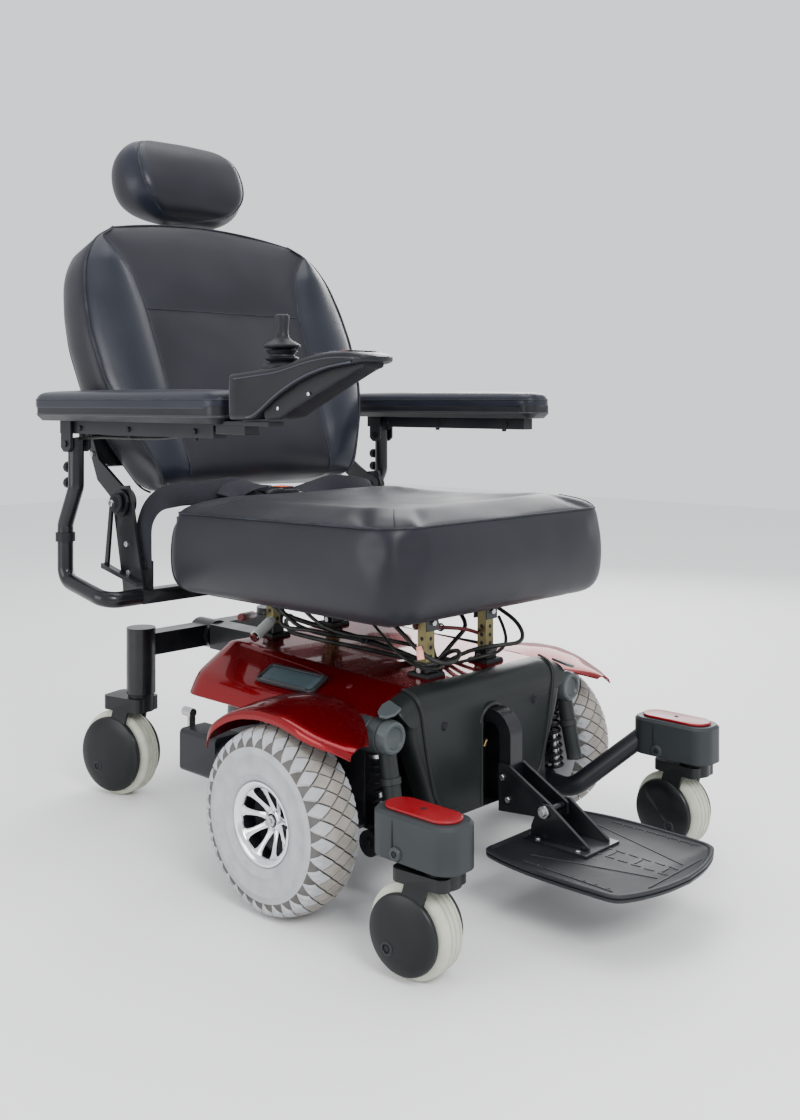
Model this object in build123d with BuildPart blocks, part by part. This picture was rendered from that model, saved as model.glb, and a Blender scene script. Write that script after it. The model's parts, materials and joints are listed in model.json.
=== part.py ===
"""Mid-wheel power wheelchair: chassis, drive, suspension, seat, armrests, controller and footplate.

Millimetres. +Z is up, the chair faces -Y, and the user's left is +X. The origin is on the floor under
the middle of the chair's box. Every sub-part is written to parts/ in its place in this frame.
"""
from build123d import *
import math
import os

# ---- driving dimensions -------------------------------------------------------------------------
SIDES = {"left": 1, "right": -1}     # the user's left is +X

WHEEL_R, WHEEL_W = 127.0, 81.0       # 10 x 3 inch drive tyre
TRACK_X = 296.0                      # drive wheel's middle plane from the centre line
AXLE_Y = -122.0                      # drive axle
RIM_R = 57.0                         # where the tyre sits on the rim
AXLE_R = 10.0                        # drive shaft

REAR_STEM = (150.0, 412.0)           # rear caster's swivel axis
REAR_R, REAR_TRAIL = 74.0, 46.0
REAR_SWIVEL = {"left": -9.0, "right": 14.0}
FRONT_STEM = (298.0, -417.0)         # front caster's swivel axis
FRONT_R, FRONT_TRAIL = 58.4, 39.0
FRONT_SWIVEL = {"left": -5.0, "right": 7.0}
CASTER_W = 41.0
STEM_R = 10.0                        # swivel pin of every caster
CASTER_AXLE_R = 6.0

FIT = 0.05                           # radial running clearance of pins in bores
GAP = 1.0                            # clearance between moving bodies

RAIL_X = 160.0                       # chassis side rails
FRAME_FRONT, FRAME_REAR = -225.0, 162.5
TUBE = 25.0                          # square chassis and seat post tube
POST_X, POST_FRONT, POST_REAR = 69.0, -187.5, 150.0
BEAM_Z = 268.0                       # rear articulating beam
ARM_PIVOT = (192.0, -205.0, 90.0)    # front suspension arm

SEAT_Z, SEAT_TOP = 403.0, 540.0      # cushion's underside and crown
SEAT_FRONT, SEAT_REAR, SEAT_HALF = -300.0, 196.0, 258.0
SEAT_TUBE_Z = 390.0                  # middle of the seat frame's tubes

BACK_LEAN = 21.5                     # backrest's lean behind upright, degrees
BACK_FOOT = (0.0, 243.0, 565.0)      # lower edge of the backrest's front face
BACK_THICK = 85.0
RECLINE = (265.0, 535.0)             # recline pivot, Y and Z

ARM_X, ARM_W = 350.0, 70.0           # armrest
ARM_FRONT, ARM_REAR = -92.0, 381.0
ARM_TOP = 712.0
FLIP = (303.0, 630.0)                # armrest's flip-up pivot, Y and Z

FOOT_PIVOT = (-368.0, 128.0)         # footplate's fold pivot, Y and Z
FOOT_FRONT, FOOT_BACK, FOOT_Z = -578.0, -327.0, 78.0

STICK = (-350.0, -187.0, 741.0)      # joystick's pivot
BELT_Y, BELT_W = 222.0, 38.0         # seat belt, behind the cushion
DECK_FRONT, DECK_REAR = -222.0, 196.0
SKIN = 3.5                           # moulded covers' thickness

os.makedirs("parts", exist_ok=True)


# ---- shared shapes: each one adds to the part that is being built ---------------------------------
def block(low, high, mode=Mode.ADD):
    """A box between two corners."""
    with Locations(tuple((a + b) / 2 for a, b in zip(low, high))):
        Box(*(abs(b - a) for a, b in zip(low, high)), mode=mode)


def rod(start, end, radius, mode=Mode.ADD):
    """A round bar between two points."""
    run = Vector(*end) - Vector(*start)
    with BuildSketch(Plane(origin=start, z_dir=run)) as disc:
        Circle(radius)
    extrude(disc.sketch, amount=run.length, mode=mode)


def tube(points, bend, radius):
    """A round tube along straight runs joined by bends."""
    with BuildLine() as route:
        FilletPolyline(*points, radius=bend)
    with BuildSketch(Plane(origin=route.line @ 0, z_dir=route.line % 0)) as disc:
        Circle(radius)
    sweep(disc.sketch, path=route.line)


def side_profile(points, low_x, high_x, mode=Mode.ADD, corner=0):
    """A (Y, Z) outline extruded across the chair."""
    with BuildSketch(Plane.YZ.offset(low_x)) as outline:
        Polygon(*points, align=None)
        if corner:
            fillet(outline.vertices(), corner)
    extrude(outline.sketch, amount=high_x - low_x, mode=mode)


def front_profile(points, low_y, high_y, mode=Mode.ADD, corner=0):
    """An (X, Z) outline extruded along the chair."""
    with BuildSketch(Plane.XZ.offset(-high_y)) as outline:
        Polygon(*points, align=None)
        if corner:
            fillet(outline.vertices(), corner)
    extrude(outline.sketch, amount=high_y - low_y, mode=mode)


def turned(centre, axle, outline, corner=0):
    """An outline of (along the axle, out from it) points, revolved about the axle."""
    axle = Vector(*axle)
    with BuildSketch(Plane(origin=centre, x_dir=axle, z_dir=axle.cross(Vector(0, 0, 1)))) as half:
        Polygon(*outline, align=None)
        if corner:
            fillet(half.vertices().group_by(Axis.Z)[-1], corner)
    revolve(half.sketch, axis=Axis(centre, tuple(axle)))


def caster(side, stem, swivel, trail, radius):
    """The wheel centre, axle direction and trailing direction of a swivelled caster."""
    turn = math.radians(swivel)
    back = Vector(-math.sin(turn), math.cos(turn), 0)
    centre = Vector(side * stem[0], stem[1], radius) + back * trail
    return centre, Vector(math.cos(turn), math.sin(turn), 0), back


def save(piece, name):
    """Label a finished piece and write it."""
    piece.part.label = name
    export_step(piece.part, f"parts/{name}.step")


# ---- chassis ------------------------------------------------------------------------------------
FRAME_LOW, FRAME_HIGH = 92.0, 132.0
CROSS_Z = 240.0
PAN = 4.0
WELD = 0.02  # a hairline between the members of one piece, so that each is a solid of its own
with BuildPart() as base_frame:
    inner = RAIL_X - TUBE / 2 - WELD
    for side in (-1, 1):
        rail, rail_side = side * RAIL_X, side * (RAIL_X + TUBE / 2)
        block((rail - TUBE / 2, FRAME_FRONT, FRAME_LOW), (rail + TUBE / 2, FRAME_REAR, FRAME_HIGH))
        upright = side * 120
        block((upright - 10, FRAME_FRONT, FRAME_HIGH + WELD),
              (upright + 10, FRAME_FRONT + TUBE, CROSS_Z - 12 - WELD))
        block((side * (22 + WELD), FRAME_REAR - TUBE, FRAME_HIGH + WELD), (side * 38, FRAME_REAR, BEAM_Z))
        rod((rail_side + side * WELD, *ARM_PIVOT[1:]), (side * 213, *ARM_PIVOT[1:]), 8)
        block((side * 148, -185, 84), (rail_side, -228, FRAME_LOW - WELD))
    for y in (FRAME_FRONT, FRAME_REAR - TUBE):
        block((-inner, y, FRAME_LOW), (inner, y + TUBE, FRAME_HIGH))
    pan_front, pan_rear = FRAME_FRONT + TUBE + WELD, FRAME_REAR - TUBE - WELD
    block((-inner, pan_front, FRAME_LOW), (inner, pan_rear, FRAME_LOW + PAN))
    block((-183, FRAME_FRONT, CROSS_Z - 12), (183, FRAME_FRONT + TUBE, CROSS_Z + 12))
    block((-22, FRAME_REAR - TUBE, BEAM_Z - 22), (22, 380, BEAM_Z + 22))
    rod((0, 380 + WELD, BEAM_Z), (0, 440 - WELD, BEAM_Z), 12)
    rod((0, 440, BEAM_Z), (0, 446, BEAM_Z), 20)
    with Locations(*[Location((side * RAIL_X, y, FRAME_LOW)) for side in (-1, 1) for y in (-60, 120)]):
        Cylinder(6.5, 200, mode=Mode.SUBTRACT)
save(base_frame, "base_frame")

BATTERY = (131.0, 197.0, 184.0)
BATTERY_FRONT = -172.0
with BuildPart() as batteries:
    for side in (-1, 1):
        middle = side * (BATTERY[0] / 2 + 1.5)
        low = FRAME_LOW + PAN
        block((middle - BATTERY[0] / 2, BATTERY_FRONT, low),
              (middle + BATTERY[0] / 2, BATTERY_FRONT + BATTERY[1], low + BATTERY[2]))
save(batteries, "batteries")

with BuildPart() as electronics_module:
    block((-78, 36, FRAME_LOW + PAN), (78, 131, FRAME_LOW + PAN + 58))
    fillet(electronics_module.edges().filter_by(Axis.Z), 6)
    with Locations(*[(x, 83, FRAME_LOW + PAN + 58) for x in (-52, 0, 52)]):
        Box(34, 60, 8, align=(Align.CENTER, Align.CENTER, Align.MIN))
save(electronics_module, "electronics_module")

# ---- drive: gearboxes and motors beside the rails, wheels outside them ----------------------------
GEARBOX_IN, GEARBOX_OUT = RAIL_X + TUBE / 2, 249.0
MOTOR_X, MOTOR_Z, MOTOR_R = 222.0, 150.0, 30.0
MOTOR_START, BRAKE_START, BRAKE_END = -77.0, 78.0, 166.0
with BuildPart() as gearboxes:
    for side in (-1, 1):
        with Locations(((GEARBOX_IN + GEARBOX_OUT) / 2 * side, AXLE_Y, 138)):
            Box(GEARBOX_OUT - GEARBOX_IN, 90, 94)
        rod((side * GEARBOX_IN, AXLE_Y, WHEEL_R), (side * (GEARBOX_OUT + 1), AXLE_Y, WHEEL_R),
            AXLE_R + FIT, mode=Mode.SUBTRACT)
    fillet(gearboxes.edges().filter_by(Axis.X).filter_by(GeomType.LINE), 12)
save(gearboxes, "gearboxes")

LEVER_Y = BRAKE_END + 4
with BuildPart() as drive_motors:
    for side in (-1, 1):
        centre = side * MOTOR_X
        rod((centre, MOTOR_START, MOTOR_Z), (centre, BRAKE_START, MOTOR_Z), MOTOR_R)
        block((centre - 28, BRAKE_START, MOTOR_Z - 30), (centre + 28, BRAKE_END, MOTOR_Z + 36))
        rod((centre, BRAKE_END, MOTOR_Z + 12), (centre, BRAKE_END + 16, MOTOR_Z + 12), 5)
    brake_edges = drive_motors.edges().filter_by(Axis.Y).filter_by(lambda edge: edge.length < 90)
    fillet(brake_edges.filter_by(GeomType.LINE), 8)
save(drive_motors, "drive_motors")

for name, side in SIDES.items():
    centre = (side * TRACK_X, AXLE_Y, WHEEL_R)
    axle = (side, 0, 0)
    with BuildPart() as drive_tyre:
        turned(centre, axle, [(-WHEEL_W / 2, RIM_R + 0.1), (WHEEL_W / 2, RIM_R + 0.1),
                              (WHEEL_W / 2, WHEEL_R), (-WHEEL_W / 2, WHEEL_R)], corner=27)
    save(drive_tyre, f"drive_tyre_{name}")

    with BuildPart() as drive_rim:
        turned(centre, axle, [(-36, RIM_R), (-36, 50), (14, 50), (14, 22), (-6, 22), (-6, AXLE_R), (24, AXLE_R),
                              (24, 22), (22, 48), (38, 52), (38, RIM_R)])
        windows = Plane(origin=(side * (TRACK_X + 10), AXLE_Y, WHEEL_R), x_dir=(0, 1, 0), z_dir=axle)
        with BuildSketch(windows) as holes:
            with PolarLocations(36, 9):
                SlotOverall(22, 12)
        extrude(holes.sketch, amount=30, mode=Mode.SUBTRACT)
        rod((side * (GEARBOX_IN + 1), AXLE_Y, WHEEL_R), (side * (TRACK_X + 24), AXLE_Y, WHEEL_R), AXLE_R)
        with BuildSketch(Plane(origin=(side * (TRACK_X + 24), AXLE_Y, WHEEL_R), z_dir=axle)) as nut:
            RegularPolygon(12, 6)
        extrude(nut.sketch, amount=9)
    save(drive_rim, f"drive_rim_{name}")

    with BuildPart() as freewheel_lever:
        pivot = (side * MOTOR_X, LEVER_Y, MOTOR_Z + 12)
        rod(pivot, (pivot[0], LEVER_Y + 5, pivot[2]), 11)
        block((pivot[0] - 6, LEVER_Y, pivot[2]), (pivot[0] + 6, LEVER_Y + 5, pivot[2] + 42))
        rod((pivot[0], LEVER_Y - 2, pivot[2] + 42), (pivot[0], LEVER_Y + 20, pivot[2] + 42), 7)
        rod((pivot[0], LEVER_Y - 1, pivot[2]), (pivot[0], LEVER_Y + 6, pivot[2]), 5 + FIT, mode=Mode.SUBTRACT)
    save(freewheel_lever, f"freewheel_lever_{name}")

# ---- rear articulating beam and its casters ------------------------------------------------------
STEM_LOW, STEM_HIGH = 183.0, 298.0
with BuildPart() as rear_beam:
    x, y = REAR_STEM
    block((-x, y - 19, BEAM_Z - 19), (x, y + 19, BEAM_Z + 19))
    rod((0, 383, BEAM_Z), (0, 438, BEAM_Z), 26)
    rod((0, 382, BEAM_Z), (0, 439, BEAM_Z), 12 + FIT, mode=Mode.SUBTRACT)
    for side in (-1, 1):
        rod((side * x, y, STEM_LOW), (side * x, y, STEM_HIGH), 25.5)
        rod((side * x, y, STEM_LOW - 1), (side * x, y, STEM_LOW + 90), STEM_R + FIT, mode=Mode.SUBTRACT)
save(rear_beam, "rear_beam")


def fork(side, stem, swivel, trail, radius, crown_low, crown_high, pin_top):
    """A caster fork: crown, swivel pin, two legs with domed covers, and the axle between them."""
    centre, axle, back = caster(side, stem, swivel, trail, radius)
    top = Vector(side * stem[0], stem[1], crown_high)
    inner, outer = CASTER_W / 2 + 3, CASTER_W / 2 + 8
    rod(tuple(top - Vector(0, 0, crown_high - crown_low)), tuple(top), 23)
    rod(tuple(top), (top.X, top.Y, pin_top), STEM_R)
    frame = Plane(origin=(centre.X, centre.Y, crown_low), x_dir=axle, z_dir=(0, 0, 1))
    with BuildSketch(frame) as crown:
        with Locations((0, -trail / 2)):
            RectangleRounded(2 * outer, trail + 40, 12)
    extrude(crown.sketch, amount=crown_high - crown_low - 6)
    for hand in (-1, 1):
        plane = Plane(origin=centre + axle * (hand * inner), x_dir=back * hand, z_dir=axle * hand)
        lift = crown_low - radius + 4
        with BuildSketch(plane) as leg:
            Polygon((-15 * hand, 0), (-(trail / 2 + 17) * hand, lift),
                    ((17 - trail / 2) * hand, lift), (15 * hand, 0),
                    align=None)
            Circle(16)
        extrude(leg.sketch, amount=outer - inner)
    for hand in (-1, 1):
        face = centre + axle * (hand * (inner + 1))
        turned(tuple(face), tuple(axle * hand), [(0, 0), (0, radius - 9), (3, radius - 9), (9, radius - 24), (12, 0)])
    rod(tuple(centre - axle * outer), tuple(centre + axle * outer), CASTER_AXLE_R)


def caster_wheel(side, stem, swivel, trail, radius):
    """A caster wheel: a grooved tyre on a hub that runs on the fork's axle."""
    centre, axle, _ = caster(side, stem, swivel, trail, radius)
    half, hub = CASTER_W / 2, radius * 0.58
    turned(tuple(centre), tuple(axle), [(-half, hub + 0.1), (half, hub + 0.1), (half, radius), (-half, radius)],
           corner=12)
    turned(tuple(centre), tuple(axle), [(-half - 2, CASTER_AXLE_R + FIT), (half + 2, CASTER_AXLE_R + FIT),
                                        (half + 2, 14), (half - 4, 18), (half - 4, hub), (4 - half, hub),
                                        (4 - half, 18), (-half - 2, 14)])


for name, side in SIDES.items():
    with BuildPart() as rear_fork:
        fork(side, REAR_STEM, REAR_SWIVEL[name], REAR_TRAIL, REAR_R, 152, STEM_LOW - GAP, STEM_LOW + 84)
    save(rear_fork, f"rear_fork_{name}")
    with BuildPart() as rear_wheel:
        caster_wheel(side, REAR_STEM, REAR_SWIVEL[name], REAR_TRAIL, REAR_R)
    save(rear_wheel, f"rear_wheel_{name}")

# ---- front suspension arms, caster heads and casters ----------------------------------------------
HEAD_LOW, HEAD_HIGH, HEAD_W = 143.0, 199.0, 65.0
HEAD_FRONT, HEAD_BACK = -452.0, -320.0
STRUT = (206.0, 242.0)               # strut head's axis, X and Z
for name, side in SIDES.items():
    with BuildPart() as front_arm:
        pivot_x, pivot_y, pivot_z = ARM_PIVOT
        tube([(side * pivot_x, pivot_y - 6, pivot_z), (side * pivot_x, -262, 86),
              (side * FRONT_STEM[0], -338, 172)],
             30, 15)
        rod((side * (pivot_x - 16), pivot_y, pivot_z), (side * (pivot_x + 16), pivot_y, pivot_z), 18)
        rod((side * (pivot_x - 17), pivot_y, pivot_z), (side * (pivot_x + 17), pivot_y, pivot_z), 8 + FIT,
            mode=Mode.SUBTRACT)
    save(front_arm, f"front_arm_{name}")

    with BuildPart() as front_head:
        x, y = side * FRONT_STEM[0], FRONT_STEM[1]
        with BuildSketch(Plane.XY.offset(HEAD_LOW)) as plan:
            with Locations((x, (HEAD_FRONT + HEAD_BACK) / 2)):
                RectangleRounded(HEAD_W, HEAD_BACK - HEAD_FRONT, 26)
        extrude(plan.sketch, amount=HEAD_HIGH - HEAD_LOW)
        chamfer(front_head.faces().sort_by(Axis.Z)[-1].edges(), 4)
        rod((x, y, HEAD_LOW - 1), (x, y, HEAD_LOW + 40), STEM_R + FIT, mode=Mode.SUBTRACT)
        add(front_arm.part, mode=Mode.SUBTRACT)
    save(front_head, f"front_head_{name}")

    with BuildPart() as head_inset:
        with BuildSketch(Plane.XY.offset(HEAD_HIGH)) as plan:
            with Locations((x, (HEAD_FRONT + HEAD_BACK) / 2)):
                SlotOverall(112, 46, rotation=90)
        extrude(plan.sketch, amount=4)
        fillet(head_inset.faces().sort_by(Axis.Z)[-1].edges(), 2)
    save(head_inset, f"head_inset_{name}")

    with BuildPart() as front_fork:
        fork(side, FRONT_STEM, FRONT_SWIVEL[name], FRONT_TRAIL, FRONT_R, 120, HEAD_LOW - GAP, HEAD_LOW + 36)
    save(front_fork, f"front_fork_{name}")
    with BuildPart() as front_wheel:
        caster_wheel(side, FRONT_STEM, FRONT_SWIVEL[name], FRONT_TRAIL, FRONT_R)
    save(front_wheel, f"front_wheel_{name}")

    with BuildPart() as shock_spring:
        rod((side * 200, -228, 108), (side * 200, -216, 214), 13)
        rod((side * 200, -228, 108), (side * 200, -216, 214), 10, mode=Mode.SUBTRACT)
    save(shock_spring, f"shock_spring_{name}")

with BuildPart() as strut_heads:
    for side in (-1, 1):
        rod((side * STRUT[0], -194, STRUT[1]), (side * STRUT[0], -246, STRUT[1]), 23)
        rod((side * STRUT[0], -246, STRUT[1]), (side * STRUT[0], -254, STRUT[1]), 20)
        rod((side * STRUT[0], -238, STRUT[1]), (side * (STRUT[0] + 2), -258, 128), 12)
save(strut_heads, "strut_heads")

# ---- covers -------------------------------------------------------------------------------------
SHROUD_LOW = 236.0


def shroud_section(y, inset):
    """The deck's cross-section at one Y: ridge, sloping shoulders and short side walls."""
    ridge = 296 + 16 * (y - DECK_FRONT) / (DECK_REAR - DECK_FRONT) - inset
    half = [(232 - inset, SHROUD_LOW - inset), (213 - inset, 269 - inset), (149 - inset, ridge)]
    with BuildSketch(Plane.XZ.offset(-y)) as section:
        Polygon(*half, *[(-x, z) for x, z in reversed(half)], align=None)
    return section.sketch


with BuildPart() as shroud_outside:
    loft([shroud_section(DECK_FRONT, 0), shroud_section(DECK_REAR, 0)])
    fillet(shroud_outside.edges().filter_by(Axis.Z, tolerance=45).sort_by(Axis.Y)[-2:], 26)

with BuildPart() as shroud:
    add(shroud_outside.part)
    loft([shroud_section(DECK_FRONT - 1, SKIN), shroud_section(DECK_REAR - SKIN, SKIN)], mode=Mode.SUBTRACT)
    add(strut_heads.part, mode=Mode.SUBTRACT)
    block((-26, 150, 200), (26, 220, BEAM_Z + 26), mode=Mode.SUBTRACT)
    with Locations(*[(x, y, 300) for x in (-POST_X, POST_X) for y in (POST_FRONT, POST_REAR)]):
        Box(TUBE + 3, TUBE + 3, 60, mode=Mode.SUBTRACT)
    block((-22, -164, 280), (22, -136, 320), mode=Mode.SUBTRACT)
save(shroud, "shroud")

ARCH = [(-268, 248), (-216, 261), (-147, 281), (-66, 276), (-9, 252), (27, 212)]   # Y, Z over the tyre
with BuildPart() as fenders:
    for side in (-1, 1):
        with BuildSketch(Plane.YZ.offset(side * 214)) as arch:
            with BuildLine():
                upper = Spline(*ARCH)
                lower = Spline(*[(y * 0.99 - 1, z - SKIN) for y, z in ARCH])
                Line(upper @ 0, lower @ 0)
                Line(upper @ 1, lower @ 1)
            make_face()
        extrude(arch.sketch, amount=side * 106)
    add(shroud_outside.part, mode=Mode.SUBTRACT)
    add(strut_heads.part, mode=Mode.SUBTRACT)
save(fenders, "fenders")

MASK_OUTLINE = [(-120, 104), (120, 104), (171, 228), (178, 262),
                (203, 285), (-203, 285), (-178, 262), (-171, 228)]
MASK_FRONT, MASK_BACK = -254.0, DECK_FRONT
with BuildPart() as front_cover:
    front_profile(MASK_OUTLINE, MASK_FRONT, MASK_BACK)
    chamfer(front_cover.edges().filter_by(Axis.X).sort_by(Axis.Z)[-2:].sort_by(Axis.Y)[0], 20, 28)
    inside = [(x * 0.975, 107 if z < 110 else z - SKIN) for x, z in MASK_OUTLINE]
    front_profile(inside, MASK_FRONT + 2 * SKIN, MASK_BACK + 1, mode=Mode.SUBTRACT)
    add(base_frame.part, mode=Mode.SUBTRACT)
    add(strut_heads.part, mode=Mode.SUBTRACT)
    block((-19, MASK_FRONT - 1, 112), (19, MASK_BACK + 2, 262), mode=Mode.SUBTRACT)
    for x in (-105, 105):
        rod((x, MASK_FRONT - 1, 241), (x, MASK_FRONT + 10, 241), 2.6, mode=Mode.SUBTRACT)
save(front_cover, "front_cover")

with BuildPart() as cover_screws:
    for x in (-105, 105):
        rod((x, MASK_FRONT + 0.5, 241), (x, FRAME_FRONT, 241), 2.5)
        rod((x, MASK_FRONT - 2, 241), (x, MASK_FRONT, 241), 5)
save(cover_screws, "cover_screws")

SLOPE = math.degrees(math.atan2(35.0, 64.0))
with BuildPart() as deck_panels:
    for side in (-1, 1):
        plane = Plane(origin=(side * 190, -28, 284.6), x_dir=(0, 1, 0),
                      z_dir=(side * math.sin(math.radians(SLOPE)), 0, math.cos(math.radians(SLOPE))))
        with BuildSketch(plane) as panel:
            RectangleRounded(122, 38, 5)
        extrude(panel.sketch, amount=6)
    add(shroud_outside.part, mode=Mode.SUBTRACT)
save(deck_panels, "deck_panels")

# ---- seat posts and seat frame --------------------------------------------------------------------
FLOOR = FRAME_LOW + PAN
SEAT_TUBE = 22.0
with BuildPart() as seat_posts:
    for x in (-POST_X, POST_X):
        for y, foot in ((POST_FRONT, FLOOR), (POST_REAR, FRAME_HIGH)):
            top = SEAT_TUBE_Z - SEAT_TUBE / 2
            block((x - TUBE / 2, y - TUBE / 2, foot), (x + TUBE / 2, y + TUBE / 2, top))
            block((x - 19, y - 19, 338), (x + 19, y + 19, 356))
            rod((x - 27, y, 347), (x + 27, y, 347), 4)
save(seat_posts, "seat_posts")

EAR_X, ARM_PLATE_X, ANCHOR_X = 284.0, 276.5, 270.0
with BuildPart() as seat_frame:
    low, high = SEAT_TUBE_Z - SEAT_TUBE / 2, SEAT_TUBE_Z + SEAT_TUBE / 2
    for side in (-1, 1):
        block((side * 150 - 11, POST_FRONT - 13, low), (side * 150 + 11, 262, high))
        ear = sorted((side * EAR_X, side * (EAR_X + 6)))
        side_profile([(206, low), (262, low), (262, high), (291, RECLINE[1]), (283, 560), (250, 563),
                      (239, RECLINE[1]), (206, high)], *ear)
        block((side * ANCHOR_X, 206, low), (side * EAR_X, BELT_Y + 18, high))
        block((side * (ANCHOR_X + 2), BELT_Y - 18, high), (side * (ANCHOR_X + 5), BELT_Y + 18, 446))
        rod((side * (ARM_PLATE_X - 3), *RECLINE), (side * 302, *RECLINE), 8)
        rod((side * 299, *RECLINE), (side * 302, *RECLINE), 13)
        block((side * 150, 206, low), (side * EAR_X, 228, high))
    for y in (POST_FRONT, POST_REAR, 251):
        block((-150, y - 11, low), (150, y + 11, high))
    with GridLocations(120, 0, 2, 1):
        with Locations((0, 251, SEAT_TUBE_Z)):
            Cylinder(4.25, 40, mode=Mode.SUBTRACT)
save(seat_frame, "seat_frame")

with BuildPart() as seat_cushion:
    side_profile([(SEAT_FRONT, SEAT_Z), (SEAT_REAR, SEAT_Z), (SEAT_REAR, SEAT_TOP - 20), (SEAT_FRONT, SEAT_TOP + 4)],
                 -SEAT_HALF, SEAT_HALF)
    with BuildSketch(Plane.XY.offset(SEAT_Z)) as plan:
        with Locations((0, (SEAT_FRONT + SEAT_REAR) / 2)):
            RectangleRounded(2 * SEAT_HALF, SEAT_REAR - SEAT_FRONT, 52)
    extrude(plan.sketch, amount=200, mode=Mode.INTERSECT)
    fillet(seat_cushion.faces().sort_by(Axis.Z)[-1].edges(), 20)
save(seat_cushion, "seat_cushion")

# ---- backrest and headrest, in a frame that leans back with the seat back ---------------------------
LEAN = math.radians(BACK_LEAN)
UP = Vector(0, math.sin(LEAN), math.cos(LEAN))
REAR = Vector(0, math.cos(LEAN), -math.sin(LEAN))
BACK_PLANE = Plane(origin=BACK_FOOT, x_dir=(1, 0, 0), z_dir=-REAR)   # local y runs up the back


def back_point(x, up, deep):
    """A point of the leaning backrest: across, up along it, and behind its front face."""
    return tuple(Vector(*BACK_FOOT) + Vector(x, 0, 0) + UP * up + REAR * deep)


BACK_OUTLINE = [(208, 0), (296, 176), (302, 265), (287, 385), (250, 450), (206, 467), (140, 481), (60, 488)]
with BuildPart() as back_cushion:
    with BuildSketch(BACK_PLANE) as outline:
        Polygon(*BACK_OUTLINE, *[(-x, up) for x, up in reversed(BACK_OUTLINE)], align=None)
        fillet(outline.vertices().filter_by(lambda v: abs(v.X) < 260), 14)
    extrude(outline.sketch, amount=-BACK_THICK)
    fillet(back_cushion.faces().sort_by(Axis((0, 0, 0), tuple(-REAR)))[-1].edges(), 12)
save(back_cushion, "back_cushion")


def back_block(low, high, mode=Mode.ADD):
    """A box between two (across, up, behind) corners of the leaning backrest."""
    size = [abs(b - a) for a, b in zip(low, high)]
    centre = back_point(*[(a + b) / 2 for a, b in zip(low, high)])
    with BuildSketch(Plane(origin=centre, x_dir=(1, 0, 0), z_dir=-REAR)) as face:
        Rectangle(size[0], size[1])
    extrude(face.sketch, amount=size[2] / 2, both=True, mode=mode)


PAN_DEEP = BACK_THICK + 1
STEM_DEEP, STEM_HALF = 99.0, 8.0
with BuildPart() as back_frame:
    back_block((-262, 60, PAN_DEEP), (262, 400, PAN_DEEP + 5))
    for side in (-1, 1):
        inner, outer = side * ARM_PLATE_X, side * (ARM_PLATE_X + 6)
        corners = [back_point(0, up, deep)[1:] for up, deep in
                   ((70, PAN_DEEP - 6), (130, PAN_DEEP), (130, PAN_DEEP + 16), (40, PAN_DEEP + 10), (-26, 50))]
        side_profile(corners + [(RECLINE[0] - 8, RECLINE[1] - 14), (RECLINE[0] - 15, RECLINE[1] + 9)],
                     min(inner, outer), max(inner, outer))
        rod((inner, *RECLINE), (outer, *RECLINE), 22)
        rod((side * (ARM_PLATE_X - 1), *RECLINE), (side * (ARM_PLATE_X + 7), *RECLINE), 8 + FIT,
            mode=Mode.SUBTRACT)
        back_block((side * 240, 64, PAN_DEEP), (outer, 128, PAN_DEEP + 5))
    back_block((-20, 372, PAN_DEEP + 5), (20, 396, STEM_DEEP + 24))
    back_block((-STEM_HALF - 0.2, 360, STEM_DEEP - 0.2), (STEM_HALF + 0.2, 401, STEM_DEEP + 16.2),
               mode=Mode.SUBTRACT)
save(back_frame, "back_frame")

HEAD_FOOT, HEAD_TOP, HEAD_HALF = 526.0, 676.0, 153.0
with BuildPart() as headrest_cushion:
    plane = Plane(origin=back_point(0, (HEAD_FOOT + HEAD_TOP) / 2, -12), x_dir=(1, 0, 0), z_dir=-REAR)
    with BuildSketch(plane) as outline:
        RectangleRounded(2 * HEAD_HALF, HEAD_TOP - HEAD_FOOT, 60)
    extrude(outline.sketch, amount=-(STEM_DEEP + 11))
    faces = headrest_cushion.faces().sort_by(Axis((0, 0, 0), tuple(-REAR)))
    fillet(faces[-1].edges() + faces[0].edges(), 30)
save(headrest_cushion, "headrest_cushion")

with BuildPart() as headrest_stem:
    back_block((-STEM_HALF, 300, STEM_DEEP), (STEM_HALF, 621, STEM_DEEP + 16))
    back_block((-45, 570, STEM_DEEP - 1), (45, 621, STEM_DEEP + 3))
save(headrest_stem, "headrest_stem")

with BuildPart() as recline_lever:
    rod((-291.5, *RECLINE), (-296, *RECLINE), 22)
    side_profile([(283, 535), (291, 532), (305, 436), (305, 426), (297, 426)], -296, -291.5)
    side_profile([(305, 436), (305, 428), (206, 408), (206, 414)], -303, -291.5)
    rod((-290, *RECLINE), (-298, *RECLINE), 8 + FIT, mode=Mode.SUBTRACT)
save(recline_lever, "recline_lever")

# ---- armrests -------------------------------------------------------------------------------------
ARM_TUBE_R = 12.5
ARM_LINE_Z = 405.0
FLIP_PIN_R = 5.0
with BuildPart() as arm_posts:
    for side in (-1, 1):
        x = side * ARM_X
        tube([(x, FLIP[0], FLIP[1] + 9), (x, FLIP[0], 560), (x, 334, 500), (x, 334, ARM_LINE_Z + 7),
              (x, 217, SEAT_TUBE_Z), (side * (EAR_X + 6), 217, SEAT_TUBE_Z)], 24, ARM_TUBE_R)
        rod((x - side * 22, *FLIP), (x + side * 22, *FLIP), FLIP_PIN_R)
save(arm_posts, "arm_posts")

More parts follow.
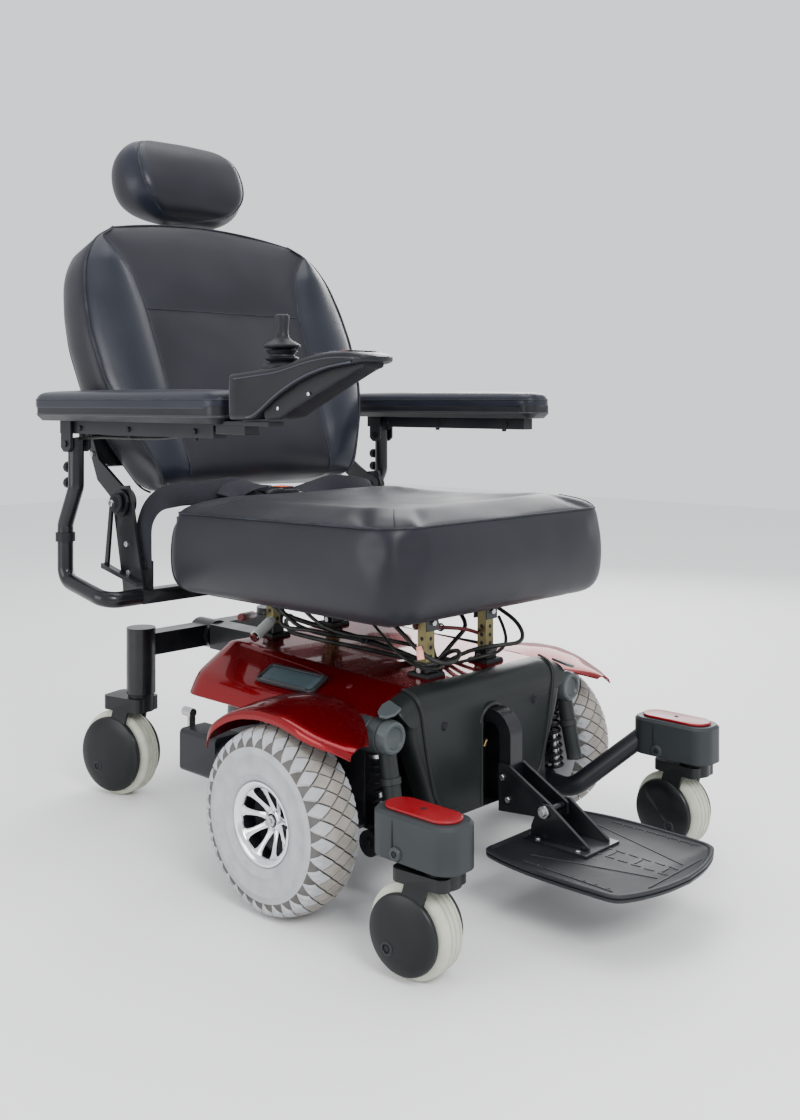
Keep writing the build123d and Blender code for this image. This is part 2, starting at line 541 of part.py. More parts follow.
TRAY_Z, PAD_Z = 666.0, 690.0
for name, side in SIDES.items():
    x = side * ARM_X
    with BuildPart() as arm_tray:
        with BuildSketch(Plane.XY.offset(TRAY_Z)) as plan:
            with Locations((x, (ARM_FRONT + ARM_REAR) / 2)):
                RectangleRounded(ARM_W - 4, ARM_REAR - ARM_FRONT - 4, 20)
        extrude(plan.sketch, amount=PAD_Z - TRAY_Z)
        chamfer(arm_tray.faces().sort_by(Axis.Z)[0].edges(), 8)
        block((x - 12.5, -60, TRAY_Z - 20), (x + 12.5, 330, TRAY_Z))
        for hand in (-1, 1):
            ear_in, ear_out = x + hand * 14, x + hand * 19
            side_profile([(FLIP[0] - 14, TRAY_Z), (FLIP[0] - 14, FLIP[1] - 6), (FLIP[0] - 6, FLIP[1] - 13),
                          (FLIP[0] + 6, FLIP[1] - 13), (FLIP[0] + 14, FLIP[1] - 6), (FLIP[0] + 14, TRAY_Z)],
                         min(ear_in, ear_out), max(ear_in, ear_out))
        rod((x - 20, *FLIP), (x + 20, *FLIP), FLIP_PIN_R + FIT, mode=Mode.SUBTRACT)
        if name == "right":
            block((x - 14, -176, 664), (x + 14, -50, 670))
    save(arm_tray, f"arm_tray_{name}")

    with BuildPart() as arm_pad:
        with BuildSketch(Plane.XY.offset(PAD_Z)) as plan:
            with Locations((x, (ARM_FRONT + ARM_REAR) / 2)):
                RectangleRounded(ARM_W, ARM_REAR - ARM_FRONT, 28)
        extrude(plan.sketch, amount=ARM_TOP - PAD_Z)
        fillet(arm_pad.faces().sort_by(Axis.Z)[-1].edges(), 10)
    save(arm_pad, f"arm_pad_{name}")

# ---- joystick controller on the right armrest -------------------------------------------------------
POD_HALF = 31.0
SX, SY, SZ = STICK
POD_OUTLINE = [(-118, 671), (-118, 733), (-178, 738), (-257, 749), (-362, 755), (-366, 740), (-316, 736), (-257, 722),
               (-164, 671)]
POD_WALL = 3.0
with BuildPart() as pod_housing:
    side_profile(POD_OUTLINE, SX - POD_HALF, SX + POD_HALF)
    fillet(pod_housing.edges().filter_by(Axis.X), 1.8)
    block((SX - 22, SY - 22, 700), (SX + 22, SY + 22, SZ + 10), mode=Mode.SUBTRACT)
    for y in (SY - 22, SY + 22):
        block((SX - 40, y, 660), (SX + 40, y + WELD, 770), mode=Mode.SUBTRACT)
    block((SX - 40, SY - 22, 700), (SX + 40, SY + 22, 700 + WELD), mode=Mode.SUBTRACT)
    for y in (-228, -252):
        rod((SX, y, 735), (SX, y, 760), 6.3, mode=Mode.SUBTRACT)
save(pod_housing, "pod_housing")

YOKE_Z = 722.0
with BuildPart() as gimbal_yoke:
    rod((SX - 21.5, SY, YOKE_Z), (SX - 12, SY, YOKE_Z), 4)
    rod((SX + 12, SY, YOKE_Z), (SX + 21.5, SY, YOKE_Z), 4)
    block((SX - 12, SY - 12, YOKE_Z - 5), (SX + 12, SY + 12, YOKE_Z + 5))
    block((SX - 8, SY - 8, YOKE_Z - 6), (SX + 8, SY + 8, YOKE_Z + 6), mode=Mode.SUBTRACT)
    rod((SX, SY - 14, YOKE_Z), (SX, SY + 14, YOKE_Z), 2.5 + FIT, mode=Mode.SUBTRACT)
save(gimbal_yoke, "gimbal_yoke")

with BuildPart() as joystick:
    rod((SX, SY, YOKE_Z - 4), (SX, SY, 800), 4)
    rod((SX, SY - 12, YOKE_Z), (SX, SY + 12, YOKE_Z), 2.5)
    with BuildSketch(Plane.XZ.offset(-SY)) as knob:
        with Locations((SX, 0)):
            Polygon((0, 774), (10, 774), (10, 779), (7, 788), (9, 801), (6, 806), (0, 806), align=None)
    revolve(knob.sketch, axis=Axis((SX, SY, 0), (0, 0, 1)))
save(joystick, "joystick")

with BuildPart() as gaiter:
    with BuildSketch(Plane.XZ.offset(-SY)) as bellows:
        with Locations((SX, 0)):
            Polygon((5, 773), (8, 773), (13, 764), (10, 762), (19, 755), (16, 753), (26, 744), (23, 744),
                    (13, 751), (16, 754), (7, 761), (9, 765), align=None)
    revolve(bellows.sketch, axis=Axis((SX, SY, 0), (0, 0, 1)))
save(gaiter, "gaiter")

for name, y in (("power_button", -252), ("horn_button", -228)):
    with BuildPart() as button:
        rod((SX, y, 738), (SX, y, 752.5 - (y + 252) / 9), 6)
    save(button, name)

# ---- footrest ---------------------------------------------------------------------------------------
FOOT_TUBE = 28.0
with BuildPart() as footrest_tube:
    with BuildLine() as route:
        FilletPolyline((0, FRAME_FRONT, CROSS_Z), (0, -290, CROSS_Z), (0, -290, 138), radius=26)
    with BuildSketch(Plane(origin=route.line @ 0, x_dir=(1, 0, 0), z_dir=route.line % 0)) as section:
        Rectangle(FOOT_TUBE, 20)
    sweep(section.sketch, path=route.line)
    for side in (-1, 1):
        side_profile([(-282, 176), (-300, 176), (FOOT_PIVOT[0] - 10, FOOT_PIVOT[1] + 6),
                      (FOOT_PIVOT[0] - 10, FOOT_PIVOT[1] - 10), (-282, 108)],
                     side * 16.5 - 2.5, side * 16.5 + 2.5)
    block((-15, -300, 112), (15, -282, 140))
    rod((-30, *FOOT_PIVOT), (30, *FOOT_PIVOT), 5)
save(footrest_tube, "footrest_tube")

with BuildPart() as footplate_hinge:
    for side in (-1, 1):
        side_profile([(FOOT_PIVOT[0] - 9, FOOT_PIVOT[1] + 10), (FOOT_PIVOT[0] + 9, FOOT_PIVOT[1] + 10),
                      (-345, 104), (-345, 91), (-440, 91), (-440, 96)],
                     side * 23.5 - 2.5, side * 23.5 + 2.5)
    block((-40, -446, 88), (40, -344, 91))
    rod((-27, *FOOT_PIVOT), (27, *FOOT_PIVOT), 5 + FIT, mode=Mode.SUBTRACT)
save(footplate_hinge, "footplate_hinge")

with BuildPart() as footplate:
    with BuildSketch(Plane.XY.offset(FOOT_Z)) as plan:
        with BuildLine():
            Polyline((-122, -540), (-126, -420), (-112, FOOT_BACK), (112, FOOT_BACK), (126, -420), (122, -540))
            ThreePointArc((-122, -540), (0, FOOT_FRONT), (122, -540))
        make_face()
        fillet(plan.vertices().filter_by(lambda v: abs(v.X) > 115 and v.Y < -500), 16)
    extrude(plan.sketch, amount=12)
    with BuildSketch(Plane.XY.offset(FOOT_Z + 8)) as well:
        add(plan.sketch)
        offset(amount=-7, mode=Mode.REPLACE)
    extrude(well.sketch, amount=5, mode=Mode.SUBTRACT)
    block((-41, -447, FOOT_Z + 7), (41, FOOT_BACK - 16, FOOT_Z + 10))
save(footplate, "footplate")

# ---- belt and wiring ----------------------------------------------------------------------------------
with BuildPart() as seat_belt:
    for side in (-1, 1):
        end = 38
        path = [(end, 536), (225, 533), (262, 522), (275, 502), (275.5, 430)]
        loop = path + [(x + 2.2, z) for x, z in reversed(path[1:])] + [(end, 538.2)]
        with BuildSketch(Plane.XZ.offset(-BELT_Y - BELT_W / 2)) as strip:
            Polygon(*[(side * x, z) for x, z in loop], align=None)
        extrude(strip.sketch, amount=BELT_W)
save(seat_belt, "seat_belt")

BUCKLE_Z = 531.0
with BuildPart() as belt_buckle:
    block((-32, BELT_Y - 24, BUCKLE_Z), (37.9, BELT_Y + 24, BUCKLE_Z + 16))
    fillet(belt_buckle.edges().filter_by(Axis.Z), 7)
    block((-37.9, BELT_Y - 17, BUCKLE_Z + 5), (-32, BELT_Y + 17, BUCKLE_Z + 9))
    block((0, BELT_Y - 12, BUCKLE_Z + 7), (26, BELT_Y + 12, BUCKLE_Z + 17), mode=Mode.SUBTRACT)
save(belt_buckle, "belt_buckle")

with BuildPart() as buckle_button:
    block((0.6, BELT_Y - 11.4, BUCKLE_Z + 11), (25.4, BELT_Y + 11.4, BUCKLE_Z + 17.5))
    fillet(buckle_button.faces().sort_by(Axis.Z)[-1].edges(), 1.5)
save(buckle_button, "buckle_button")

CABLE_R = 3.2
with BuildPart() as wiring:
    loom_end = SEAT_TUBE_Z - SEAT_TUBE / 2
    tube([(-10, -150, 286), (-13, -160, 322), (-30, -222, 342), (-76, -242, 334), (-116, -222, 340),
          (-122, POST_FRONT, 352), (-122, POST_FRONT, loom_end)], 9, CABLE_R)
    tube([(10, -150, 286), (14, -162, 318), (34, -220, 334), (80, -234, 346), (114, -214, 336),
          (118, POST_FRONT, 350), (118, POST_FRONT, loom_end)], 9, CABLE_R)
save(wiring, "wiring")
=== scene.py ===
"""The looks of the power wheelchair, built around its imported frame.

Metres, +Z up. The chair faces -Y and the user's left is +X. Lengths in this file are written in
millimetres and brought to metres by mm().
"""
import json
import math

import bmesh
import bpy
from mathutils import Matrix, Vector, noise

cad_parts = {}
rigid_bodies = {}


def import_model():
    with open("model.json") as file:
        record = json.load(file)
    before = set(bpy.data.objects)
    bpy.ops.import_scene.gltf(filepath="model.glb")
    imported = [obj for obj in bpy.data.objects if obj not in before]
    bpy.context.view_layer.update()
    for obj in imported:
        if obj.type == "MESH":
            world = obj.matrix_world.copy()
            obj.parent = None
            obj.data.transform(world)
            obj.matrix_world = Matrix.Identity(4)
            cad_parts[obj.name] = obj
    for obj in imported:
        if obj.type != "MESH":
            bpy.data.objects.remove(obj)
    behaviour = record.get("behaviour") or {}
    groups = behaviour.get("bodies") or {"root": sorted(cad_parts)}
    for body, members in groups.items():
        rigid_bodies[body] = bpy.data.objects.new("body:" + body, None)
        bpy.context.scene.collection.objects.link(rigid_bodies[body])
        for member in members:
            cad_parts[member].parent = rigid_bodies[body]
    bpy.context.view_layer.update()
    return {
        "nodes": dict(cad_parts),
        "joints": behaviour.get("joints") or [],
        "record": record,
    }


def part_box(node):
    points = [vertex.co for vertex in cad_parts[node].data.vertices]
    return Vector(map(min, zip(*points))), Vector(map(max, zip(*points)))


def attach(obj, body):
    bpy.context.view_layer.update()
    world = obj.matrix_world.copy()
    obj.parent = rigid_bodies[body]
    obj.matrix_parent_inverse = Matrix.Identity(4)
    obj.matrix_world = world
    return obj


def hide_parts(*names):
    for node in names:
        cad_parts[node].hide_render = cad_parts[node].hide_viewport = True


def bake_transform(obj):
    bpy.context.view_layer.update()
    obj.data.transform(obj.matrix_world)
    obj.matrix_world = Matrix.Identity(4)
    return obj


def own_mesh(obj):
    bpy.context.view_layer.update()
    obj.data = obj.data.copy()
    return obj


for leftover in list(bpy.data.objects):
    bpy.data.objects.remove(leftover)
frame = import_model()
NODES = frame["nodes"]
SIDES = {"left": 1, "right": -1}
BODY_OF = {node: body for body, nodes in frame["record"]["behaviour"]["bodies"].items() for node in nodes}
JOINTS = {joint["name"]: joint for joint in frame["joints"]}
X, Y, Z = Vector((1, 0, 0)), Vector((0, 1, 0)), Vector((0, 0, 1))


def mm(*values):
    """Millimetres to metres: one number, or a Vector of three."""
    return values[0] * 0.001 if len(values) == 1 else Vector(values) * 0.001


def joint_at(name):
    """A joint's place in the frame, in metres."""
    return Vector(JOINTS[name]["pos_m"])


def round_angles(count, start=0.0):
    """Angles evenly spaced round a turn; start is in steps."""
    return [2 * math.pi * (k + start) / count for k in range(count)]


def round_x(angle):
    """The direction at an angle round an axle that lies along X."""
    return Y * math.cos(angle) + Z * math.sin(angle)


def shifted(color, gain, lift=0.0):
    """A colour scaled and raised."""
    return tuple(c * gain + lift for c in color)


# ---- camera, light and floor ----------------------------------------------------------------------
def make_stage():
    """The camera of the photograph, soft studio light and a pale floor."""
    scene = bpy.context.scene
    camera = bpy.data.objects.new("camera", bpy.data.cameras.new("camera"))
    scene.collection.objects.link(camera)
    camera.location = (-1.3862, -1.3535, 0.6972)
    camera.rotation_euler = (math.radians(90), 0, math.radians(-45.53))
    camera.data.lens, camera.data.sensor_width = 38.57, 36
    camera.data.shift_x, camera.data.shift_y = 0.032, -0.142
    scene.camera = camera

    world = bpy.data.worlds.new("studio")
    world.use_nodes = True
    world.node_tree.nodes["Background"].inputs["Color"].default_value = (0.95, 0.97, 1.0, 1)
    world.node_tree.nodes["Background"].inputs["Strength"].default_value = 1.25
    scene.world = world
    for name, place, aim, size, power in (
        ("key", (-1.2, -2.8, 2.4), (0, 0, 0.5), 1.2, 95),
        ("top", (0.2, 0.3, 3.2), (0, 0, 0.4), 2.2, 55),
        ("rim", (2.4, 1.2, 1.6), (0, 0, 0.6), 1.5, 45),
        ("low", (-2.6, 0.6, 0.9), (0, 0, 0.4), 1.4, 30),
    ):
        light = bpy.data.objects.new(name, bpy.data.lights.new(name, "AREA"))
        scene.collection.objects.link(light)
        light.data.size, light.data.energy = size, power
        light.location = place
        light.rotation_euler = (Vector(aim) - Vector(place)).to_track_quat("-Z", "Y").to_euler()

    half = 6.0
    floor_mesh = bpy.data.meshes.new("floor")
    corners = [(x * half, y * half, 0) for x, y in ((-1, -1), (1, -1), (1, 1), (-1, 1))]
    floor_mesh.from_pydata(corners, [], [(0, 1, 2, 3)])
    floor = bpy.data.objects.new("floor", floor_mesh)
    scene.collection.objects.link(floor)
    pale = bpy.data.materials.new("pale_floor")
    pale.use_nodes = True
    shader = pale.node_tree.nodes["Principled BSDF"]
    shader.inputs["Base Color"].default_value = (0.86, 0.86, 0.86, 1)
    shader.inputs["Roughness"].default_value = 0.6
    floor.data.materials.append(pale)


# ---- materials ------------------------------------------------------------------------------------
MIX_FACTOR, MIX_A, MIX_B = 0, 6, 7  # the colour sockets of a Mix node
MIX_RESULT = 2


class Finish:
    """A Principled material whose detail comes from procedural nodes in object space."""

    def __init__(self, name, color, rough, shine=0.22, **sockets):
        self.material = bpy.data.materials.new(name)
        self.material.use_nodes = True
        self.nodes, self.links = self.material.node_tree.nodes, self.material.node_tree.links
        self.shader = self.nodes["Principled BSDF"]
        self.color, self.rough = color, rough
        self.shader.inputs["Base Color"].default_value = (*color, 1)
        self.shader.inputs["Roughness"].default_value = rough
        self.shader.inputs["Specular IOR Level"].default_value = shine
        for socket, value in sockets.items():
            self.shader.inputs[socket.replace("_", " ").title()].default_value = value
        self.place = self.nodes.new("ShaderNodeTexCoord").outputs["Object"]
        self.height = None

    def texture(self, kind, scale, **values):
        """A texture node's first numeric output, in object space. scale is in repeats per metre."""
        node = self.nodes.new(f"ShaderNodeTex{kind}")
        self.links.new(self.place, node.inputs["Vector"])
        node.inputs["Scale"].default_value = scale
        for key, value in values.items():
            if key in node.inputs:
                node.inputs[key].default_value = value
            else:
                setattr(node, key, value)
        return node.outputs["Distance"] if kind == "Voronoi" else node.outputs[0]

    def ramp(self, value, low, high, out_low=0.0, out_high=1.0):
        """A value stretched from low..high to out_low..out_high."""
        node = self.nodes.new("ShaderNodeMapRange")
        self.links.new(value, node.inputs["Value"])
        for key, number in zip(("From Min", "From Max", "To Min", "To Max"),
                               (low, high, out_low, out_high)):
            node.inputs[key].default_value = number
        return node.outputs["Result"]

    def math(self, operation, first, second):
        """Two values or numbers joined by a Math node."""
        node = self.nodes.new("ShaderNodeMath")
        node.operation = operation
        for socket, value in zip(node.inputs, (first, second)):
            if isinstance(value, (int, float)):
                socket.default_value = value
            else:
                self.links.new(value, socket)
        return node.outputs[0]

    def tint(self, value, other):
        """Mixes another colour in where value is high."""
        node = self.nodes.new("ShaderNodeMix")
        node.data_type = "RGBA"
        base = self.shader.inputs["Base Color"]
        node.inputs[MIX_A].default_value = base.default_value
        node.inputs[MIX_B].default_value = (*other, 1)
        if base.links:
            self.links.new(base.links[0].from_socket, node.inputs[MIX_A])
        self.links.new(value, node.inputs[MIX_FACTOR])
        self.links.new(node.outputs[MIX_RESULT], base)
        return self

    def roughen(self, value, low, high):
        """Roughness runs from low to high as value goes from 0.3 to 0.7."""
        self.links.new(self.ramp(value, 0.3, 0.7, low, high), self.shader.inputs["Roughness"])
        return self

    def bump(self, value, depth, strength=1.0):
        """Adds a bump, depth in millimetres."""
        node = self.nodes.new("ShaderNodeBump")
        node.inputs["Distance"].default_value = mm(depth)
        node.inputs["Strength"].default_value = strength
        self.links.new(value, node.inputs["Height"])
        if self.height:
            self.links.new(self.height, node.inputs["Normal"])
        self.height = node.outputs["Normal"]
        self.links.new(self.height, self.shader.inputs["Normal"])
        return self

    def edges(self, color, low=0.52, high=0.6):
        """Wear along convex edges."""
        point = self.nodes.new("ShaderNodeNewGeometry").outputs["Pointiness"]
        return self.tint(self.ramp(point, low, high, 0.0, 0.55), color)


def vinyl(name, color, rough):
    """Coated upholstery: leather grain, soft creases and a faint bloom."""
    look = Finish(name, color, rough, 0.24, coat_weight=0.04, coat_roughness=0.3, sheen_weight=0.03)
    grain = look.texture("Voronoi", 620, feature="F1", Randomness=1.0)
    pores = look.texture("Noise", 1500, Detail=4.0)
    cloud = look.texture("Noise", 9, Detail=3.0)
    look.tint(look.ramp(cloud, 0.35, 0.75, 0.0, 0.5), shifted(color, 1.55, 0.004))
    look.roughen(cloud, rough - 0.05, rough + 0.07)
    look.bump(grain, 0.10, 0.55).bump(pores, 0.05, 0.4)
    return look.material


def moulded(name, color, rough, grain=900, edge=1.5):
    """Moulded plastic: fine spark texture, faint flow marks and polished edges."""
    look = Finish(name, color, rough)
    fine = look.texture("Noise", grain, Detail=2.0)
    flow = look.texture("Noise", 14, Detail=4.0)
    look.tint(look.ramp(flow, 0.4, 0.8, 0.0, 0.6), shifted(color, 1.3, 0.006))
    look.edges(shifted(color, edge, 0.03))
    look.roughen(flow, rough - 0.06, rough + 0.08)
    look.bump(fine, 0.06, 0.5)
    return look.material


def paint(name, color, rough, metallic=0.0, coat=0.3, chips=(0.3, 0.3, 0.3)):
    """Sprayed metal: orange peel, dust and chipped edges."""
    look = Finish(name, color, rough, metallic=metallic, coat_weight=coat, coat_roughness=0.12)
    peel = look.texture("Noise", 320, Detail=2.0)
    dust = look.texture("Noise", 22, Detail=5.0)
    look.tint(look.ramp(dust, 0.5, 0.85, 0.0, 0.4), shifted(color, 1.3, 0.015))
    look.edges(chips, 0.55, 0.66)
    look.roughen(dust, rough - 0.05, rough + 0.1)
    look.bump(peel, 0.03, 0.35)
    return look.material


def candy(name):
    """Metallic red lacquer: flakes under a clear coat, with large soft patches of painted shade."""
    look = Finish(name, (0.17, 0.0008, 0.0045), 0.28, metallic=0.7, coat_weight=0.5, coat_roughness=0.04)
    flake = look.texture("Voronoi", 1500, feature="F1")
    look.tint(look.ramp(flake, 0.15, 0.5, 0.0, 0.12), (0.34, 0.003, 0.01))
    # painted shade: large soft patches darkened toward deep red
    cloud = look.texture("Noise", 5, Detail=2.0)
    look.tint(look.ramp(cloud, 0.45, 0.8, 0.0, 0.35), (0.09, 0.0006, 0.003))
    look.roughen(look.texture("Noise", 30, Detail=4.0), 0.22, 0.3)
    look.shader.inputs["Specular Tint"].default_value = (0.42, 0.02, 0.035, 1)
    return look.material


def rubber(name, color, stain, rough=0.72):
    """Rubber: mottled with dust and specks, with a fine matt grain."""
    look = Finish(name, color, rough)
    mottle = look.texture("Noise", 45, Detail=6.0)
    look.tint(look.ramp(mottle, 0.42, 0.75, 0.0, 0.7), stain)
    specks = look.texture("Noise", 500, Detail=3.0)
    look.tint(look.ramp(specks, 0.55, 0.8, 0.0, 0.35), shifted(stain, 0.75))
    look.roughen(mottle, rough - 0.08, rough + 0.12)
    look.bump(look.texture("Noise", 700, Detail=4.0), 0.12, 0.5)
    return look.material


def bare_metal(name, color, rough, brushed=0.0):
    """Metal without paint: uneven polish and a faint tarnish."""
    look = Finish(name, color, rough, metallic=1.0)
    marks = look.texture("Noise", 260, Detail=5.0)
    look.roughen(marks, max(0.03, rough - 0.06), rough + 0.1)
    stain = look.texture("Noise", 35, Detail=4.0)
    look.tint(look.ramp(stain, 0.5, 0.8, 0.0, 0.4), shifted(color, 0.7))
    if brushed:
        look.bump(marks, brushed, 0.3)
    return look.material


def webbing(name, color):
    """Woven belt: ribs across it and a herringbone along it."""
    look = Finish(name, color, 0.66, 0.2, sheen_weight=0.04)
    rib = look.texture("Wave", 260, wave_type="BANDS", bands_direction="Y", Distortion=0.4)
    cross = look.texture("Wave", 330, wave_type="BANDS", bands_direction="DIAGONAL", Distortion=0.3)
    look.tint(look.ramp(rib, 0.2, 0.9, 0.0, 0.5), shifted(color, 1.8, 0.003))
    look.bump(look.math("ADD", rib, cross), 0.25, 0.6)
    return look.material


FABRIC = vinyl("vinyl", (0.0075, 0.008, 0.0125), 0.43)
GLOSS_FABRIC = vinyl("vinyl_bolster", (0.0078, 0.0095, 0.0165), 0.33)
THREAD = rubber("thread", (0.010, 0.0112, 0.016), (0.04, 0.043, 0.056), 0.5)
RED = candy("candy_red")
COVER = moulded("cover_charcoal", (0.0095, 0.012, 0.0118), 0.38)
GREY = moulded("grey_plastic", (0.021, 0.025, 0.027), 0.42)
BLACK = moulded("black_plastic", (0.006, 0.0065, 0.009), 0.36)
INSET = moulded("inset_plastic", (0.035, 0.055, 0.063), 0.55, grain=420)
FRAME_PAINT = paint("frame_paint", (0.0055, 0.006, 0.0078), 0.34, metallic=0.2, chips=(0.12, 0.12, 0.125))
SILVER = bare_metal("rim_silver", (0.78, 0.79, 0.81), 0.16)
STEEL = bare_metal("plain_steel", (0.48, 0.48, 0.49), 0.3, 0.02)
ZINC = bare_metal("olive_zinc", (0.20, 0.175, 0.085), 0.40, 0.03)
SIDEWALL = rubber("tyre_sidewall", (0.36, 0.37, 0.385), (0.27, 0.28, 0.29))
TREAD = rubber("tyre_tread", (0.30, 0.28, 0.255), (0.19, 0.17, 0.15))
CASTER_RUBBER = rubber("caster_rubber", (0.47, 0.48, 0.40), (0.36, 0.37, 0.30), 0.55)
SOFT_BLACK = rubber("soft_black", (0.007, 0.007, 0.009), (0.016, 0.016, 0.019), 0.5)
WEBBING = webbing("belt_webbing", (0.0075, 0.008, 0.013))
ORANGE = moulded("orange_button", (0.72, 0.09, 0.025), 0.32)
PINK = moulded("connector_pink", (0.72, 0.32, 0.26), 0.4)
HARNESS_RED = moulded("bar_dark_red", (0.10, 0.012, 0.014), 0.4)
CASE = moulded("battery_case", (0.03, 0.03, 0.033), 0.5)
RED_GLOSS = paint("inset_red", (0.20, 0.001, 0.005), 0.32, coat=0.2, chips=(0.4, 0.01, 0.02))
CAP_GREY = moulded("cap_grey", (0.048, 0.056, 0.059), 0.32)
# painted shade: the casing rubber between the tread blocks, darkened
GROOVE_SHADE = rubber("tyre_groove", (0.10, 0.095, 0.09), (0.06, 0.055, 0.05))
CASTER_BLACK = moulded("caster_black", (0.0036, 0.0044, 0.005), 0.34)
DARK_RED = moulded("gap_dark_red", (0.07, 0.004, 0.006), 0.3)
BRASS = bare_metal("brass", (0.62, 0.42, 0.2), 0.3)
TREAD_PLASTIC = moulded("foot_plastic", (0.0075, 0.009, 0.011), 0.42, grain=700)
POD_BLACK = moulded("pod_black", (0.0036, 0.0044, 0.0068), 0.34)
POD_EDGE = moulded("pod_edge", (0.026, 0.028, 0.038), 0.34)
GRIP = rubber("grip_rubber", (0.007, 0.0075, 0.010), (0.018, 0.019, 0.025), 0.46)
GAUGE_BLACK = moulded("gauge_black", (0.004, 0.004, 0.005), 0.16)
GAUGE_RED = moulded("gauge_red", (0.30, 0.01, 0.01), 0.3)
GAUGE_AMBER = moulded("gauge_amber", (0.42, 0.2, 0.01), 0.3)
GAUGE_GREEN = moulded("gauge_green", (0.02, 0.22, 0.04), 0.3)
CABLE = rubber("cable_jacket_dark", (0.011, 0.0115, 0.011), (0.045, 0.046, 0.042), 0.42)
IVORY = moulded("ivory_plastic", (0.42, 0.45, 0.43), 0.4)
TRAY_EDGE = moulded("tray_edge", (0.018, 0.019, 0.024), 0.34)


# ---- mesh building --------------------------------------------------------------------------------
def piece(name, verts, faces, body, materials, replaces=(), slot=None, pick=None, smooth=35):
    """A mesh that rides on a body, unless body is None. pick(face index) chooses its material; smooth is the
    crease angle."""
    mesh = bpy.data.meshes.new(name)
    mesh.from_pydata([tuple(v) for v in verts], [], faces)
    obj = bpy.data.objects.new(name, mesh)
    bpy.context.scene.collection.objects.link(obj)
    for material in materials if isinstance(materials, (list, tuple)) else [materials]:
        mesh.materials.append(material)
    if pick:
        for index, face in enumerate(mesh.polygons):
            face.material_index = pick(index)
    tidy_mesh(mesh)
    shade(mesh, smooth)
    if body:
        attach(obj, body)
    if replaces:
        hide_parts(*([replaces] if isinstance(replaces, str) else replaces))
    return obj


def tidy_mesh(mesh):
    """Merges doubled points and turns every face outward."""
    work = bmesh.new()
    work.from_mesh(mesh)
    bmesh.ops.remove_doubles(work, verts=work.verts, dist=2e-6)
    bmesh.ops.recalc_face_normals(work, faces=work.faces)
    work.to_mesh(mesh)
    work.free()


def shade(mesh, angle):
    """Smooth shading with edges sharper than angle kept crisp."""
    mesh.shade_smooth()
    mesh.set_sharp_from_angle(angle=math.radians(angle))


def soften(obj, width, segments=2, angle=35):
    """Rounds a piece's edges by a Bevel modifier, width in millimetres."""
    bevel = obj.modifiers.new("soft_edges", "BEVEL")
    bevel.width, bevel.segments, bevel.limit_method = mm(width), segments, "ANGLE"
    bevel.angle_limit = math.radians(angle)
    bevel.harden_normals = True
    bevel.use_clamp_overlap = True
    return obj


def rings(loops, closed=True, caps=True, wrap=False):
    """Verts and faces of a skin over loops of points; wrap joins the last loop to the first."""
    count = len(loops[0])
    verts = [point for loop in loops for point in loop]
    faces = []
    for row in range(len(loops) - (0 if wrap else 1)):
        ahead = (row + 1) % len(loops)
        for k in range(count if closed else count - 1):
            after = (k + 1) % count
            faces.append((row * count + k, row * count + after, ahead * count + after, ahead * count + k))
    if caps and not wrap:
        faces.append(tuple(range(count))[::-1])
        faces.append(tuple((len(loops) - 1) * count + k for k in range(count)))
    return verts, faces


def turned(profile, centre, axle, steps=64, wrap=False):
    """A profile of (along, out) millimetres turned about an axle; returns verts and faces."""
    axle = Vector(axle).normalized()
    out = axle.orthogonal().normalized()
    side = axle.cross(out)
    ways = [out * math.cos(a) + side * math.sin(a) for a in round_angles(steps)]
    loops = [[Vector(centre) + axle * mm(along) + way * mm(radius) for way in ways] for along,
             radius in profile]
    return rings(loops, caps=not wrap, wrap=wrap)


def stud(at, axle, radius, height, steps=6, foot=0.0, edge=(0.8, 0.8)):
    """A bolt, screw or washer head with a chamfered rim of (drop, inset); returns verts and faces."""
    drop, inset = edge
    profile = [(foot, radius), (height - drop, radius), (height, radius - inset), (height, 0.3)]
    return turned(profile, at, axle, steps)


def merged(*parts):
    """Joins several (verts, faces) into one."""
    verts, faces = [], []
    for part_verts, part_faces in parts:
        base = len(verts)
        verts += part_verts
        faces += [tuple(base + k for k in face) for face in part_faces]
    return verts, faces


def cuboid(low, high):
    """A box between two corners, in millimetres."""
    (x0, y0, z0), (x1, y1, z1) = low, high
    loops = [[mm(x, y, z) for x, y in ((x0, y0), (x1, y0), (x1, y1), (x0, y1))] for z in (z0, z1)]
    return rings(loops)


def soft_line(name, points, radius, material, body, cyclic=False):
    """A smooth round line: piping, a seam, a cable or a thin rod. The radius is in millimetres."""
    curve = bpy.data.curves.new(name, "CURVE")
    curve.dimensions, curve.bevel_depth, curve.bevel_resolution = "3D", mm(radius), 3
    curve.use_fill_caps = True
    spline = curve.splines.new("NURBS")
    spline.points.add(len(points) - 1)
    for target, point in zip(spline.points, points):
        target.co = (*point, 1)
    spline.use_cyclic_u = cyclic
    spline.order_u = 3
    spline.use_endpoint_u = not cyclic
    spline.resolution_u = 4
    curve.materials.append(material)
    obj = bpy.data.objects.new(name, curve)
    bpy.context.scene.collection.objects.link(obj)
    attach(obj, body)
    return obj


def dressed(node, material, bevel=1.2, segments=2):
    """The CAD node's own shape with its edges softened, in a better material."""
    source = NODES[node]
    mesh = source.data.copy()
    mesh.name = node + "_soft"
    mesh.materials.clear()
    mesh.materials.append(material)
    work = bmesh.new()
    work.from_mesh(mesh)
    bmesh.ops.remove_doubles(work, verts=work.verts, dist=1e-6)
    bmesh.ops.dissolve_limit(work, angle_limit=math.radians(1), verts=work.verts, edges=work.edges)
    work.to_mesh(mesh)
    work.free()
    shade(mesh, 30)
    obj = bpy.data.objects.new(node + "_soft", mesh)
    bpy.context.scene.collection.objects.link(obj)
    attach(obj, BODY_OF[node])
    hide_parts(node)
    soften(obj, bevel, segments)
    return obj


def carried(node, material):
    """A CAD node that stays as it is, in a better material."""
    mesh = NODES[node].data
    mesh.materials.clear()
    mesh.materials.append(material)
    shade(mesh, 30)


